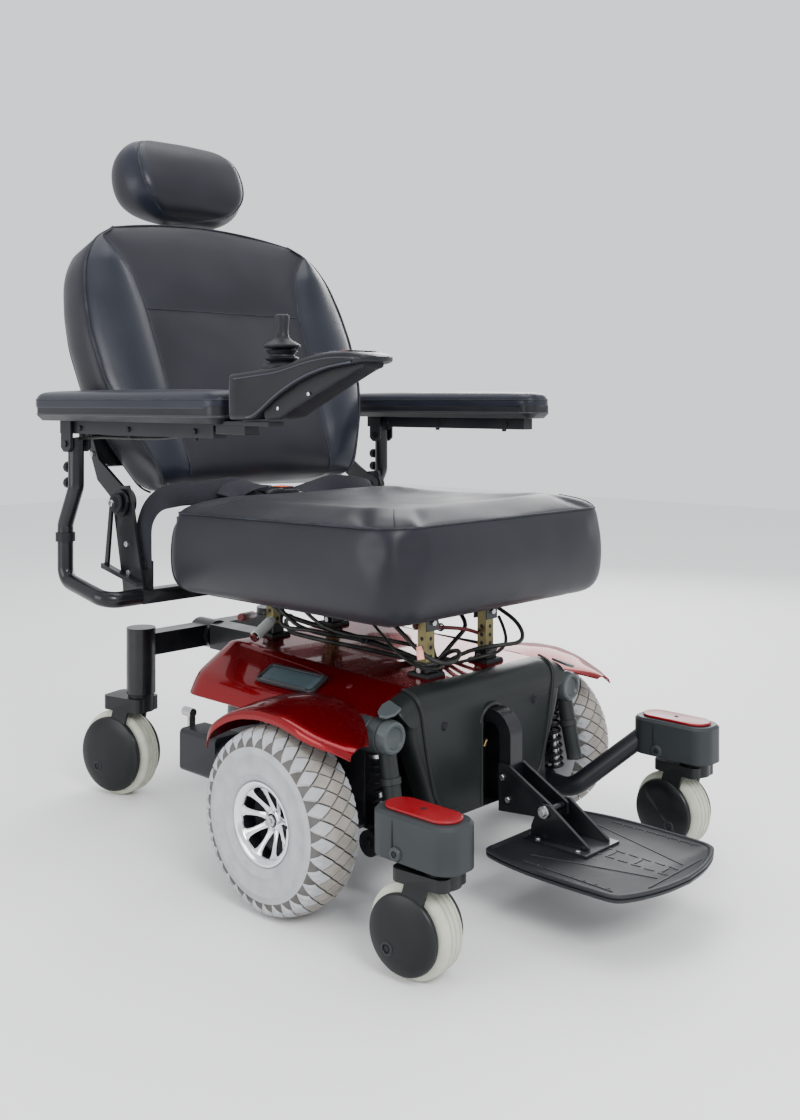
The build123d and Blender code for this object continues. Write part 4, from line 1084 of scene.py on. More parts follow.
def sheet_piece(name, rows, thickness, body, material, replaces=(), slot=None, smooth=30):
    """A moulded shell: a grid of points given a wall by Solidify and soft edges by Bevel."""
    verts, faces = rings(rows, closed=False, caps=False)
    obj = piece(name, verts, faces, body, material, replaces, slot, None, smooth)
    wall = obj.modifiers.new("wall", "SOLIDIFY")
    wall.thickness, wall.offset = mm(thickness), -1
    soften(obj, 0.9, 2, 50)
    return obj


def facing(obj, toward):
    """Turns an open sheet so that its middle faces the given way."""
    mesh = obj.data
    total = sum((face.normal * face.area for face in mesh.polygons), Vector())
    if total.dot(toward) < 0:
        mesh.flip_normals()
    return obj


DECK_FRONT, DECK_LENGTH = -222, 418
DECK_LOW, DECK_RISE = 296, 16


def deck_height(y):
    """The height of the sloping deck at a distance along the chair, in millimetres."""
    return DECK_LOW + DECK_RISE * (y - DECK_FRONT) / DECK_LENGTH


def mirrored(half):
    """A closed outline from its half, whose first and last points lie on the middle line."""
    return half + [Vector((-p.x, p.y)) for p in half[-2:0:-1]]


def shroud():
    """The red deck with its rolled sides and rear, its gap lines and its screws."""
    rows = []
    stations = [(DECK_FRONT + 11.6 * k, 0.0) for k in range(33)]
    stations += [(150, math.radians(a)) for a in range(9, 91, 9)]
    for y, turn in stations:
        inset, drop = 52 * (1 - math.cos(turn)), 22 * (1 - math.cos(turn))
        ridge = deck_height(y) - 0.3
        half = rounded_path([(0, ridge - 1.5), (146, ridge), (213, 269), (224, 252), (231.5, 236.5)],
                            [5, 20, 8], 6)
        across = [(-x, z) for x, z in half[::-1]] + [(x, z) for x, z in half[1:]]
        reach = y + 46 * math.sin(turn) - 0.3
        rows.append([mm(x * (1 - inset / 232), reach, z - drop * (z - 236) / 60) for x, z in across])
    rows.append([Vector((p.x, p.y, mm(236.5))) for p in rows[-1]])
    obj = sheet_piece("deck_shroud", rows, 3, "root", RED, "shroud", "red_shroud", 26)
    facing(obj, Z)
    for name, side in SIDES.items():
        gap = [mm(side * x, y, z) + mm(0, 0, 1) for x, y, z in (
            (154, 118, 305), (158, 60, 302), (160, -84, 292.5), (172, -92, 286.5))]
        soft_line(f"deck_gap_{name}", gap, 0.9, DARK_RED, "root")
        screw = stud(mm(side * 172, -132, 287.6), (side * 0.48, 0, 0.88), 4.6, 1.5, 24, -0.5, (0.7, 0.8))
        piece(f"deck_screw_{name}", *screw, "root", DARK_RED, (), "screws")


def grommets():
    """Soft frames where the posts and the cables go through the deck."""
    corners = ((1, 1), (-1, 1), (-1, -1), (1, -1))
    for k, (x, y) in enumerate(((-69, -187.5), (69, -187.5), (-69, 150), (69, 150))):
        z = deck_height(y)
        ring = [[mm(x + sx * reach, y + sy * reach, z + rise) for sx, sy in corners]
                for reach, rise in ((13.6, -3), (13.6, 3.4), (15, 4.6), (18.5, 4.2), (20, 1.5), (20, -3))]
        soften(piece(f"post_grommet_{k + 1}", *rings(ring, caps=False, wrap=True), "root", SOFT_BLACK, (),
                     "trim_plastic"), 1.2, 3)
    oval = [(26 * math.cos(a), 17 * math.sin(a)) for a in round_angles(40)]
    tray = [[mm(x * scale, -150 + y * scale, deck_height(-150) + rise) for x, y in oval]
            for scale, rise in ((1, -2), (1, 3), (0.94, 4), (0.84, 3), (0.8, -1.5))]
    piece("cable_grommet", *rings(tray), "root", SOFT_BLACK, (), "trim_plastic")


def deck_inset(name, side):
    """The grey panel on the shoulder, in a bevelled frame."""
    slope = math.atan2(35, 64)
    low = mm(side * 190, -28, 284.6)
    along, across = Y, Vector((side * math.cos(slope), 0, -math.sin(slope)))
    up = Vector((side * math.sin(slope), 0, math.cos(slope)))

    def layer(half_long, half_wide, rise, radius=6):
        """A rounded rectangle lying on the shoulder, raised off it."""
        loop = plan_loop(0, half_wide, -half_long, half_long, radius, radius, 0, 64)
        return [low + across * p.x + along * p.y + up * mm(rise) for p in loop]

    frame_loops = [layer(62, 20, -1), layer(62, 20, 2.6), layer(60.5, 18.6, 4.2), layer(58, 16.4, 4.0),
                   layer(56.5, 15, 2.2), layer(56.5, 15, -1)]
    piece(f"inset_frame_{name}", *rings(frame_loops, caps=False, wrap=True), "root", BLACK,
          "deck_panels" if side > 0 else (), "grey_plastic")
    panel = [layer(56.3, 14.8, -1), layer(56.3, 14.8, 1.6), layer(55, 13.8, 2.4, 5),
             layer(36, 12.6, 2.6, 5)]
    piece(f"inset_panel_{name}", *rings(panel), "root", INSET, (), "grey_plastic")
    lip = [low + across * mm(17.2) + along * mm(y) + up * mm(4.4) for y in (-50, -20, 20, 50)]
    soft_line(f"inset_lip_{name}", lip, 1.6, GREY, "root")


ARCH = [(-265, 247), (-240, 256), (-216, 262), (-180, 273), (-147, 280), (-105, 281), (-66, 275),
        (-36, 264), (-9, 248), (12, 229), (24, 212)]


def fender(name, side):
    """The red arch over a drive wheel, with its rolled lip and the wall of the wheel well."""
    rows, samples = [], 44
    lengths = [0.0]
    for (y0, z0), (y1, z1) in zip(ARCH, ARCH[1:]):
        lengths.append(lengths[-1] + math.hypot(y1 - y0, z1 - z0))
    tables = [[(run, point[axis]) for run, point in zip(lengths, ARCH)] for axis in (0, 1)]
    for k in range(samples + 1):
        run = lengths[-1] * k / samples
        y, z = (curve_table(table, run, 10) for table in tables)
        forward = max(0.0, (-186 - y) / 84)
        inner, outer = 212 + 62 * forward ** 1.4, 319 - 26 * forward ** 1.5
        rear = max(0.0, (y + 10) / 34)
        outer -= 14 * rear ** 2
        row = []
        for j in range(10):
            f = j / 9
            crown = 3.4 * math.sin(math.pi * f) - 5 * f * f
            row.append(mm(side * (inner + (outer - inner) * f), y, z + crown))
        last = row[-1]
        row += [last + mm(side * a, 0, -b) for a,
                b in ((2.2, 1.6), (3.6, 4.6), (3.8, 9), (3.2, 13 - 5 * forward))]
        rows.append(row)
    obj = sheet_piece(f"fender_{name}", rows, 2.6, "root", RED, "fenders" if side > 0 else (),
                      "red_shroud", 40)
    facing(obj, Z)
    liner = []
    for y, z in ((-205, 250), (-170, 266), (-120, 271), (-70, 265), (-30, 246), (0, 215)):
        liner.append([mm(side * x, y, z + rise) for x, rise in ((214, 0), (216, -60), (217, -120))])
    back = sheet_piece(f"wheel_well_{name}", liner, 2, "root", SOFT_BLACK, (), "trim_plastic", 60)
    facing(back, X * side)


MASK = [(0, 104), (118, 104), (171, 228), (178, 262), (197, 280), (150, 296.4), (0, 295.2)]
SLOT_HALF = 21
MASK_FACE = -254


def slot_outline(half, low, high, steps=10):
    """The round-topped slot in the front cover, as (across, height)."""
    turns = [math.pi * k / steps for k in range(steps + 1)]
    arc = [(half * math.cos(a), high - half + half * math.sin(a)) for a in turns]
    return [(-half, low), (half, low)] + arc


def carve(obj, verts, faces, material):
    """Cuts a closed shape out of a piece, and keeps the result as its mesh."""
    mesh = bpy.data.meshes.new("cutter")
    mesh.from_pydata([tuple(v) for v in verts], [], faces)
    mesh.materials.append(material)
    tidy_mesh(mesh)
    cutter = bpy.data.objects.new("cutter", mesh)
    bpy.context.scene.collection.objects.link(cutter)
    obj.data.materials.append(material)
    cut = obj.modifiers.new("cut", "BOOLEAN")
    cut.operation, cut.object, cut.solver, cut.material_mode = "DIFFERENCE", cutter, "EXACT", "TRANSFER"
    graph = bpy.context.evaluated_depsgraph_get()
    made = bpy.data.meshes.new_from_object(obj.evaluated_get(graph))
    obj.modifiers.remove(cut)
    old, obj.data = obj.data, made
    bpy.data.meshes.remove(old)
    bpy.data.objects.remove(cutter)
    bpy.data.meshes.remove(mesh)
    shade(obj.data, 35)
    return obj


def front_cover():
    """The charcoal front cover with its slot, seams, screw wells darkened as painted shade, and the
    terminals in the slot.
    """
    outline = mirrored(rounded_path(MASK, [16, 22, 10, 9, 16], 6))
    centre = Vector((0, 190))
    rows = []
    for y, inset in ((-221, 0), (-226, 0), (-231, 0), (-236, 0), (-240, 0.1), (-244, 0.5), (-248.5, 1.6),
                     (-251.6, 3.6), (-253.4, 6.6), (-254, 11)):
        f = (-222 - y) / 32
        row = []
        for p in outline:
            q = centre + (p - centre) * (1 - inset / 150)
            roll = 27 * (1 - math.sqrt(max(0.0, 1 - min(1, f) ** 2))) * max(0.0, (p.y - 246) / 50)
            row.append(mm(q.x, y, q.y - roll))
        rows.append(row)
    obj = piece("front_mask", *rings(rows), "root", COVER, "front_cover", "cover_plastic")
    cutter = [[mm(x, y, z) for x, z in slot_outline(SLOT_HALF, 108, 250)] for y in (-262, -227)]
    carve(obj, *rings(cutter), SOFT_BLACK)
    soften(obj, 0.8, 2, 40)
    rim = [mm(x, MASK_FACE - 0.3, z) for x, z in slot_outline(SLOT_HALF + 1.2, 110, 251.5)[1:]]
    rim += [mm(-SLOT_HALF - 1.2, MASK_FACE - 0.3, 110)]
    soft_line("slot_rim", rim, 1.7, COVER, "root")
    hood = [mm(x, -252 - 5 * math.sin(a), z) for a, (x, z) in
            zip((math.pi * k / 10 for k in range(11)), slot_outline(SLOT_HALF + 3, 110, 254)[2:])]
    soft_line("slot_hood", hood, 3.2, COVER, "root")
    for name, side in SIDES.items():
        seam = [mm(side * x, y, z) for x, y, z in (
            (160, -223, 296.4), (159, -236, 293.6), (158, -245.5, 287.6), (157, -251.8, 279),
            (155, -254.6, 267), (152, -255, 250), (149, -254.8, 232), (140, -254.6, 190), (131, -254.6, 158),
            (123, -254.6, 137), (112, -254.6, 125), (98, -254.6, 119), (80, -254.6, 116.5))]
        soft_line(f"mask_seam_{name}", seam, 1.6, SOFT_BLACK, "root")
        ridge = [p + mm(side * -2.8, 0.2, 0.4) for p in seam]
        soft_line(f"mask_seam_edge_{name}", ridge, 1.5, COVER, "root")
        # painted shade: each screw well is a dark ring round its screw
        well = turned([(-0.2, 7.0), (0.9, 6.8), (1.3, 6.0), (0.6, 5.2), (0.4, 0.3)],
                      mm(side * 105, MASK_FACE, 241), -Y, 32)
        piece(f"screw_well_shade_{name}", *well, "root", BLACK, (), "cover_plastic")
    dressed("cover_screws", SOFT_BLACK, 0.5)
    for k, (x, z, long) in enumerate(((-9, 196, 16), (-6, 176, 12), (-10, 160, 14), (8, 186, 10))):
        terminal = turned([(0, 3.2), (long, 3.2), (long + 1, 2.2)], mm(x, -234, z), (0.25, -0.2, 0.9), 16)
        piece(f"slot_terminal_{k + 1}", *terminal, "root", BRASS, (), "cable_jacket")


# ---- footplate ------------------------------------------------------------------------------------
def footplate():
    """The tray with its raised rim and the moulded pattern on it."""
    side_line = [(0, -327), (104, -327), (112, -333), (122, -372), (126, -420), (125.6, -480),
                 (122.5, -536), (116, -548),
                 (88, -562), (46, -573.5), (0, -577.5)]
    outline = mirrored(rounded_path(side_line, [4, 6, 20, 20, 20, 8, 8, 20, 20], 4))
    base = even_loop([Vector((p.x, p.y, 0)) for p in outline], 160)
    centre_y = -452
    rows = []
    for z, inset in ((78, 8), (78.4, 4), (80, 1.2), (82, 0.2), (84.2, 0.2), (84.6, 1.6), (86, 1.6),
                     (86.4, 0), (89, 0),
                     (90, 1.2), (90.2, 3.2), (89.6, 5.4), (88.6, 6.2), (87.8, 7.2)):
        shrink = 1 - inset / 124
        rows.append([mm(p.x * shrink, centre_y + (p.y - centre_y) * shrink, z) for p in base])
    verts, faces = rings(rows, caps=False)
    count = len(base)
    faces += zip_cap(0, count, True) + zip_cap((len(rows) - 1) * count, count, False)
    piece("foot_tray", verts, faces, "footplate", TREAD_PLASTIC, "footplate", "trim_plastic", smooth=40)
    marks = []

    def mark(x0, y0, x1, y1, wide, rise=0.9, base_z=87.2):
        """A low moulded bar between two points of the tray."""
        start, end = mm(x0, y0, base_z), mm(x1, y1, base_z)
        along = (end - start).normalized()
        across = Z.cross(along) * mm(wide / 2)
        loops = []
        for shrink, z in ((1, 0), (1, rise * 0.6), (0.6, rise + 0.6)):
            cut = along * mm((1 - shrink) * wide / 2)
            near, far, side = start + cut, end - cut, across * shrink
            corners = (near - side, far - side, far + side, near + side)
            loops.append([p + mm(0, 0, z) for p in corners])
        marks.append(rings(loops))

    for k in range(8):
        y = -398 - 20 * k
        mark(14, y, 12.5, y - 14, 3.2)
        mark(-14, y, -12.5, y - 14, 3.2)
        if k % 2:
            mark(-9, y - 3, 9, y - 3, 2.4)
    for hand in (-1, 1):
        mark(hand * 80, -384, hand * 31, -548, 1.8)
        mark(hand * 105, -392, hand * 107, -530, 1.8)
        for k in range(7):
            y = -410 - 18 * k
            mark(hand * 106, y, hand * 101, y - 4, 2.2)
    mark(-66, -556, 66, -556, 1.8)
    piece("foot_tray_pattern", *merged(*marks), "footplate", TREAD_PLASTIC, (), "trim_plastic", smooth=30)


# ---- belt -----------------------------------------------------------------------------------------
def smooth_path(points, steps=6):
    """Points along a smooth curve through the given ones."""
    points = [Vector(p) for p in points]
    padded = [points[0] * 2 - points[1], *points, points[-1] * 2 - points[-2]]
    out = []
    for a, b, c, d in zip(padded, padded[1:], padded[2:], padded[3:]):
        for k in range(steps):
            t = k / steps
            bend, twist = 2 * a - 5 * b + 4 * c - d, 3 * b - a - 3 * c + d
            out.append(0.5 * (2 * b + (c - a) * t + bend * t * t + twist * t ** 3))
    return out + [points[-1]]


def strap(points, across, width, thick, steps=6):
    """A flat band along points; across gives the band's width direction at each of them."""
    line, ways = smooth_path(points, steps), smooth_path(across, steps)
    loops = []
    for k, (point, way) in enumerate(zip(line, ways)):
        ahead = (line[min(k + 1, len(line) - 1)] - line[max(k - 1, 0)]).normalized()
        way = (way - ahead * way.dot(ahead)).normalized()
        face = ahead.cross(way) * mm(thick / 2)
        half = way * mm(width / 2)
        loops.append([point - half + face * 0.4, point - half * 0.94 + face, point + half * 0.94 + face,
                      point + half + face * 0.4, point + half - face * 0.4, point + half * 0.94 - face,
                      point - half * 0.94 - face, point - half - face * 0.4])
    return rings(loops)


BUCKLE_Y = 222


def rounded_section(half, low, high, corner, steps=5):
    """(across, height) points of a rounded rectangle."""
    points = []
    for cx, cz, start in ((half - corner, high - corner, 0), (-half + corner, high - corner, 90),
                          (-half + corner, low + corner, 180), (half - corner, low + corner, 270)):
        for k in range(steps):
            a = math.radians(start + 90 * k / (steps - 1))
            points.append((cx + corner * math.cos(a), cz + corner * math.sin(a)))
    return points


def belt():
    """The two bands, their free tail, the stitching and the anchors."""
    near = [mm(*p) for p in (
        (-276.5, 222, 434), (-277.5, 222, 470), (-276, 221, 506), (-258, 219, 533), (-222, 215, 546),
        (-160, 212, 546), (-100, 214, 551), (-60, 216, 545), (-36, 221, 538))]
    far = [mm(*p) for p in (
        (276.5, 222, 434), (277.5, 222, 470), (276, 221, 504), (256, 221, 526), (225, 220, 534),
        (150, 220, 545), (95, 221, 542), (40, 222, 539))]
    tilt = Vector((0, 0.45, 0.89))
    near_ways = [Y, Y, Y * 0.9 + Z * 0.1, Y * 0.7 + Z * 0.4, tilt, tilt, tilt, Vector((0, 0.75, 0.66)), Y]
    far_ways = [Y, Y, Y, Y * 0.8 + Z * 0.3, tilt, tilt, Vector((0, 0.8, 0.5)), Y]
    tail = [mm(*p) for p in ((-40, 208, 553), (-80, 202, 556), (-118, 196, 549), (-140, 188, 541))]
    tail_ways = [Y, Y * 0.8 + Z * 0.4, Y * 0.6 + Z * 0.6, Y * 0.8 + Z * 0.3]
    bands = merged(strap(near, near_ways, 40, 2.0), strap(far, far_ways, 38, 2.0),
                   strap(tail, tail_ways, 34, 1.8))
    piece("belt_webbing", *bands, "root", WEBBING, "seat_belt", "webbing", smooth=50)
    for name, path, ways in (("right", near, near_ways), ("left", far, far_ways)):
        for k, edge in enumerate((-0.4, 0.4)):
            stitches = [p + way.normalized() * mm(38 * edge) - Y * mm(1.2)
                        for p, way in zip(path[3:-1], ways[3:-1])]
            soft_line(f"belt_stitch_{name}_{k + 1}", stitches, 0.5, THREAD, "root")
    for name, side in SIDES.items():
        at = mm(side * 278.4, BUCKLE_Y, 440)
        washer = stud(at, X * side, 9, 2.2, 32, edge=(0.6, 0.8))
        bolt = stud(at, X * side, 6.2, 6, foot=2, edge=(0.6, 0.8))
        piece(f"belt_anchor_{name}", *merged(washer, bolt), "root", SOFT_BLACK, (), "screws", smooth=25)


def buckle():
    """A moulded body with a waist, a well for its press button and a steel tongue."""
    stations = [  # across, half width, low, high
        (-38, 17, 534, 542), (-32, 22, 531.5, 545), (-22, 24, 531, 547), (-4.5, 24, 531, 547.2),
        (-2, 24, 531, 544.6), (28, 24, 531, 544.6), (31, 22.5, 532, 544.4), (37.5, 19, 534, 542)]
    rows = [[mm(x, BUCKLE_Y + y, z) for y, z in rounded_section(half, low, high, 4.0)]
            for x, half, low, high in stations]
    piece("buckle_shell", *rings(rows), "root", BLACK, "belt_buckle", "trim_plastic", smooth=40)
    corners = ((-1, -1), (1, -1), (1, 1), (-1, 1))
    well = [[mm(13 + sx * wide, BUCKLE_Y + sy * deep, z) for sx, sy in corners]
            for wide, deep,
            z in ((13.2, 12.2, 544.2), (15.2, 14.2, 544.2), (15.2, 14.2, 548), (13.2, 12.2, 548))]
    soften(piece("buckle_frame", *rings(well, caps=False, wrap=True), "root", BLACK, (), "trim_plastic"),
           0.4)
    tongue = cuboid((-37, 207, 536.2), (-30, 237, 539.2))
    soften(piece("buckle_tongue", *tongue, "root", STEEL, (), "screws"), 0.8)
    dressed("buckle_button", ORANGE, 0.8)


# ---- controller -----------------------------------------------------------------------------------
SX, SY = -350.0, -187.0  # the stick
POD_FRONT, POD_LENGTH = -366, 248


def shell_section(y, low, high, half, corner):
    """A rounded rectangle across the armrest at a station along it."""
    corner = min(corner, half - 0.5, (high - low) / 2 - 0.2)
    return [mm(SX + x, y, z) for x, z in rounded_section(half, low, high, corner)]


POD_TOP = [(-366, 752), (-340, 757), (-300, 757), (-262, 752), (-232, 745), (-205, 740), (-178, 738),
           (-150, 735.5),
           (-118, 733)]
POD_LOW = [(-366, 743), (-340, 741), (-300, 736), (-262, 726), (-232, 714), (-205, 700), (-180, 684),
           (-164, 673.5),
           (-118, 672)]
KEEL_LOW = [(-352, 738), (-330, 729), (-290, 712), (-250, 694), (-225, 684), (-212, 676), (-180, 673)]


def pod():
    """The controller's upper shell, its dark keel, the seam between them and the top panel."""
    count, rows = 30, []
    for k in range(count + 1):
        y = POD_FRONT + POD_LENGTH * k / count
        nose = min(1.0, (y - POD_FRONT + 0.8) / 16)
        high, low = curve_table(POD_TOP, y, 10), curve_table(POD_LOW, y, 10)
        half = 31 * math.sqrt(max(0.04, nose * (2 - nose)))
        middle, spread = (high + low) / 2, max(1.2, (high - low) / 2 * (0.55 + 0.45 * min(1.0, nose)))
        rows.append(shell_section(y, middle - spread, middle + spread, half, 6.5))
    piece("pod_shell", *rings(rows), "armrest_right", POD_BLACK, "pod_housing", "trim_plastic", smooth=38)
    keel = []
    for k in range(21):
        y = -352 + 172 * k / 20
        high, low = curve_table(POD_LOW, y, 10) + 4, curve_table(KEEL_LOW, y, 8)
        keel.append(shell_section(y, min(low, high - 3), high, 24 - 6 * (1 - k / 20), 5))
    piece("pod_keel", *rings(keel), "armrest_right", SOFT_BLACK, (), "trim_plastic", smooth=38)
    for name, side in (("inner", 1), ("outer", -1)):
        crease = [mm(SX + side * 31.2, y, curve_table(POD_LOW, y, 10) + 2.4) for y in range(-344, -150, 12)]
        soft_line(f"pod_crease_{name}", crease, 1.3, POD_EDGE, "armrest_right")
        upper = [mm(SX + side * 31.0, y, curve_table(POD_TOP, y, 10) - 7.5) for y in range(-350, -118, 14)]
        soft_line(f"pod_ridge_{name}", upper, 0.8, POD_EDGE, "armrest_right")
        for k, (y, z) in enumerate(((-205, 688), (-262, 706))):
            screw = stud(mm(SX + side * 23.4, y, z), X * side, 2.6, 1.0, 20, -1, (0.4, 0.6))
            piece(f"pod_screw_{name}_{k + 1}", *screw, "armrest_right", STEEL, (), "screws")
    edge = [mm(SX + sx * 30.6, -117.6, z) for sx, z in (
        (-1, 676), (-1, 729), (-0.86, 732.6), (0.86, 732.6), (1, 729), (1, 676), (0.86, 672.6),
        (-0.86, 672.6))]
    soft_line("pod_rear_edge", edge, 1.1, POD_EDGE, "armrest_right", cyclic=True)
    panel = [[mm(SX + p[0], p[1], p[2]) for p in loop] for loop in (
        [(-24, -336, 757.6), (24, -336, 757.6), (24, -272, 754.8), (-24, -272, 754.8)],
        [(-23, -335, 758.6), (23, -335, 758.6), (23, -273, 755.8), (-23, -273, 755.8)])]
    soften(piece("pod_panel", *rings(panel), "armrest_right", GAUGE_BLACK, (), "trim_plastic"), 0.8)
    for k in range(5):
        bar = cuboid((SX - 16 + 7 * k, -326, 758.0), (SX - 11.5 + 7 * k, -314, 759.0))
        lamp = (GAUGE_RED, GAUGE_AMBER, GAUGE_GREEN)[k // 2]
        soften(piece(f"gauge_bar_{k + 1}", *bar, "armrest_right", lamp, (), "trim_plastic"), 0.3)
    for k in range(2):
        key = turned([(-1, 5), (1.2, 5), (1.8, 4.2), (1.6, 0.3)], mm(SX - 9 + 18 * k, -290, 757.0), Z, 28)
        piece(f"panel_key_{k + 1}", *key, "armrest_right", GREY, (), "trim_plastic")
    for name, y in (("power", -252), ("horn", -228)):
        collar = turned([(-3, 6.7), (-3, 8.6), (0.8, 8.4), (1.4, 7.6), (1.0, 6.7)],
                        mm(SX, y, curve_table(POD_TOP, y, 10)), Z, 36, wrap=True)
        piece(f"{name}_collar", *collar, "armrest_right", POD_EDGE, (), "trim_plastic")
        dressed(f"{name}_button", SOFT_BLACK, 0.8)
    clamp = cuboid((SX - 14, -128, 652), (SX + 14, -66, 667))
    soften(piece("pod_clamp", *clamp, "armrest_right", BLACK, (), "trim_plastic"), 2, 3)


def stick_and_bellows():
    """The stick's knob, the two rubber shells of its bellows, and the gimbal yoke in steel."""
    foot = mm(SX, SY, 0)
    knob = [(722, 0.5), (722, 3.9), (764, 4), (764.5, 12), (765.5, 21), (767.5, 24), (769.5, 24.2),
            (772, 20.5),
            (775.5, 14), (779, 9.6), (786, 8.1), (797, 8.8), (805, 9.6), (808, 9.2), (809.6, 7), (810, 0.5)]
    piece("joystick_knob", *turned(knob, foot, Z, 56), "stick", GRIP, "joystick", "trim_plastic", smooth=40)
    lower = [(738, 25.5), (742.5, 25.8), (745, 24), (746, 17), (748, 15.5), (750, 20.5), (752.2, 22.4),
             (754, 20.5),
             (755, 17), (757, 16.6), (757, 15.6), (755, 15.8), (753, 18.5), (750.8, 18.5), (748, 13),
             (745, 14),
             (743.5, 22), (738, 22)]
    upper = [(757, 16.6), (759, 18.5), (761.4, 20.6), (763.2, 18.5), (764, 12), (766, 9), (766, 7),
             (763.6, 7),
             (762.2, 11), (761.4, 17), (759.6, 17), (757, 15.6)]
    folds = piece("bellows", *turned(lower, foot, Z, 56, wrap=True), None, GRIP, "gaiter", "gaiter_rubber",
                  smooth=35)
    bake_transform(folds)
    collar = piece("bellows_top", *turned(upper, foot, Z, 56, wrap=True), None, GRIP, (), "gaiter_rubber",
                   smooth=35)
    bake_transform(collar)
    carried("gimbal_yoke", STEEL)


# ---- posts, cables and fittings under the seat -------------------------------------------------------
POSTS = [(x, y) for y in (-187.5, 150.0) for x in (-69.0, 69.0)]
POST_HALF, SLEEVE_HALF = 9.2, 12.2


def square_tube(x, y, low, high, half):
    """An upright square bar round a point of the deck."""
    corners = ((1, 1), (-1, 1), (-1, -1), (1, -1))
    return rings([[mm(x + sx * half, y + sy * half, z) for sx, sy in corners] for z in (low, high)])


def seat_posts():
    """The four zinc posts with their sleeves, clamps, bolts, and dark discs of painted shade for their
    adjustment holes.
    """
    posts = merged(*[square_tube(x, y, 270, 388, POST_HALF) for x, y in POSTS])
    soften(piece("post_tubes", *posts, "root", ZINC, "seat_posts", "zinc_steel", smooth=25), 1.6, 3)
    base, top, bolts, hole_shades = [], [], [], []
    for x, y in POSTS:
        deck = deck_height(y)
        base += [square_tube(x, y, deck - 4, deck + 17, SLEEVE_HALF),
                 square_tube(x, y, deck + 15, deck + 19, 13.4)]
        top += [cuboid((x - 13, y - 13.5, 362), (x + 13, y - 10.6, 394)),
                cuboid((x - 13, y + 10.6, 362), (x + 13, y + 13.5, 394)),
                cuboid((x - 13, y - 13.5, 384), (x + 13, y + 13.5, 388))]
        bolts.append(stud(mm(x - SLEEVE_HALF, y, deck + 8), -X, 5.2, 5, edge=(0.6, 0.8)))
        bolts.append(stud(mm(x, y - 13.5, 374), -Y, 4.8, 4.2, edge=(0.6, 0.8)))
        # painted shade: each adjustment hole is a dark disc on the post's face
        for z in (deck + 27, deck + 40, deck + 53):
            for at, way in ((mm(x - POST_HALF, y, z), -X), (mm(x, y - POST_HALF, z), -Y)):
                hole_shades.append(turned([(-0.4, 3.1), (0.12, 3.1), (0.12, 0.3)], at, way, 20))
    for part, shapes in (("post_sleeves", base), ("post_brackets", top)):
        soften(piece(part, *merged(*shapes), "root", FRAME_PAINT, (), "frame_black", smooth=25), 0.8)
    piece("post_bolts", *merged(*bolts), "root", STEEL, (), "screws", smooth=25)
    piece("post_hole_shades", *merged(*hole_shades), "root", SOFT_BLACK, (), "screws", smooth=25)


LOOMS = {  # radius, then the route's points
    "loop_right": (3.4, [
        (-8, -150, 292), (-16, -176, 318), (-34, -222, 334), (-62, -244, 326), (-92, -240, 322),
        (-112, -214, 338), (-108, -170, 366), (-96, -120, 384)]),
    "loop_left": (3.2, [
        (8, -150, 292), (30, -178, 316), (62, -222, 326), (98, -236, 326), (122, -220, 340),
        (120, -196, 362), (104, -160, 382)]),
    "loop_low": (2.2, [
        (-4, -156, 292), (-30, -190, 306), (-66, -214, 308), (-100, -200, 312), (-104, -160, 330),
        (-84, -110, 350), (-60, -50, 368)]),
    "cross_red": (3.0, [
        (-84, -176, 368), (-30, -182, 360), (30, -186, 350), (64, -176, 338)]),
    "rear_run": (4.0, [
        (0, -140, 292), (-30, -100, 312), (-60, -40, 330), (-90, 40, 344), (-96, 120, 356),
        (-70, 170, 372)]),
    "rear_sag": (3.4, [
        (-118, 96, 384), (-122, 60, 352), (-104, 10, 334), (-70, -50, 332), (-20, -110, 306)]),
    "rear_loop": (3.2, [
        (-40, 150, 380), (-90, 110, 346), (-130, 60, 340), (-120, 0, 344), (-84, -30, 330),
        (-50, 20, 330)]),
    "far_loop": (3.4, [
        (100, 110, 384), (120, 40, 348), (92, -40, 332), (40, -100, 322), (10, -140, 292)]),
    "rear_low": (3.6, [
        (-20, -120, 300), (-60, -70, 314), (-104, -20, 326), (-112, 40, 330), (-92, 90, 326),
        (-60, 130, 334)]),
    "rear_high": (3.8, [
        (-124, 130, 386), (-96, 90, 366), (-66, 30, 362), (-56, -40, 366), (-84, -100, 376)]),
    "mid_sweep": (3.0, [
        (-126, 30, 384), (-128, -10, 358), (-110, -60, 342), (-78, -110, 340), (-48, -150, 330)]),
    "far_sweep": (3.6, [
        (124, -60, 384), (112, -100, 356), (84, -140, 340), (40, -150, 326), (10, -140, 296)]),
    "left_pair": (2.6, [
        (12, -156, 292), (40, -196, 306), (74, -214, 312), (104, -206, 330), (112, -180, 358)]),
}


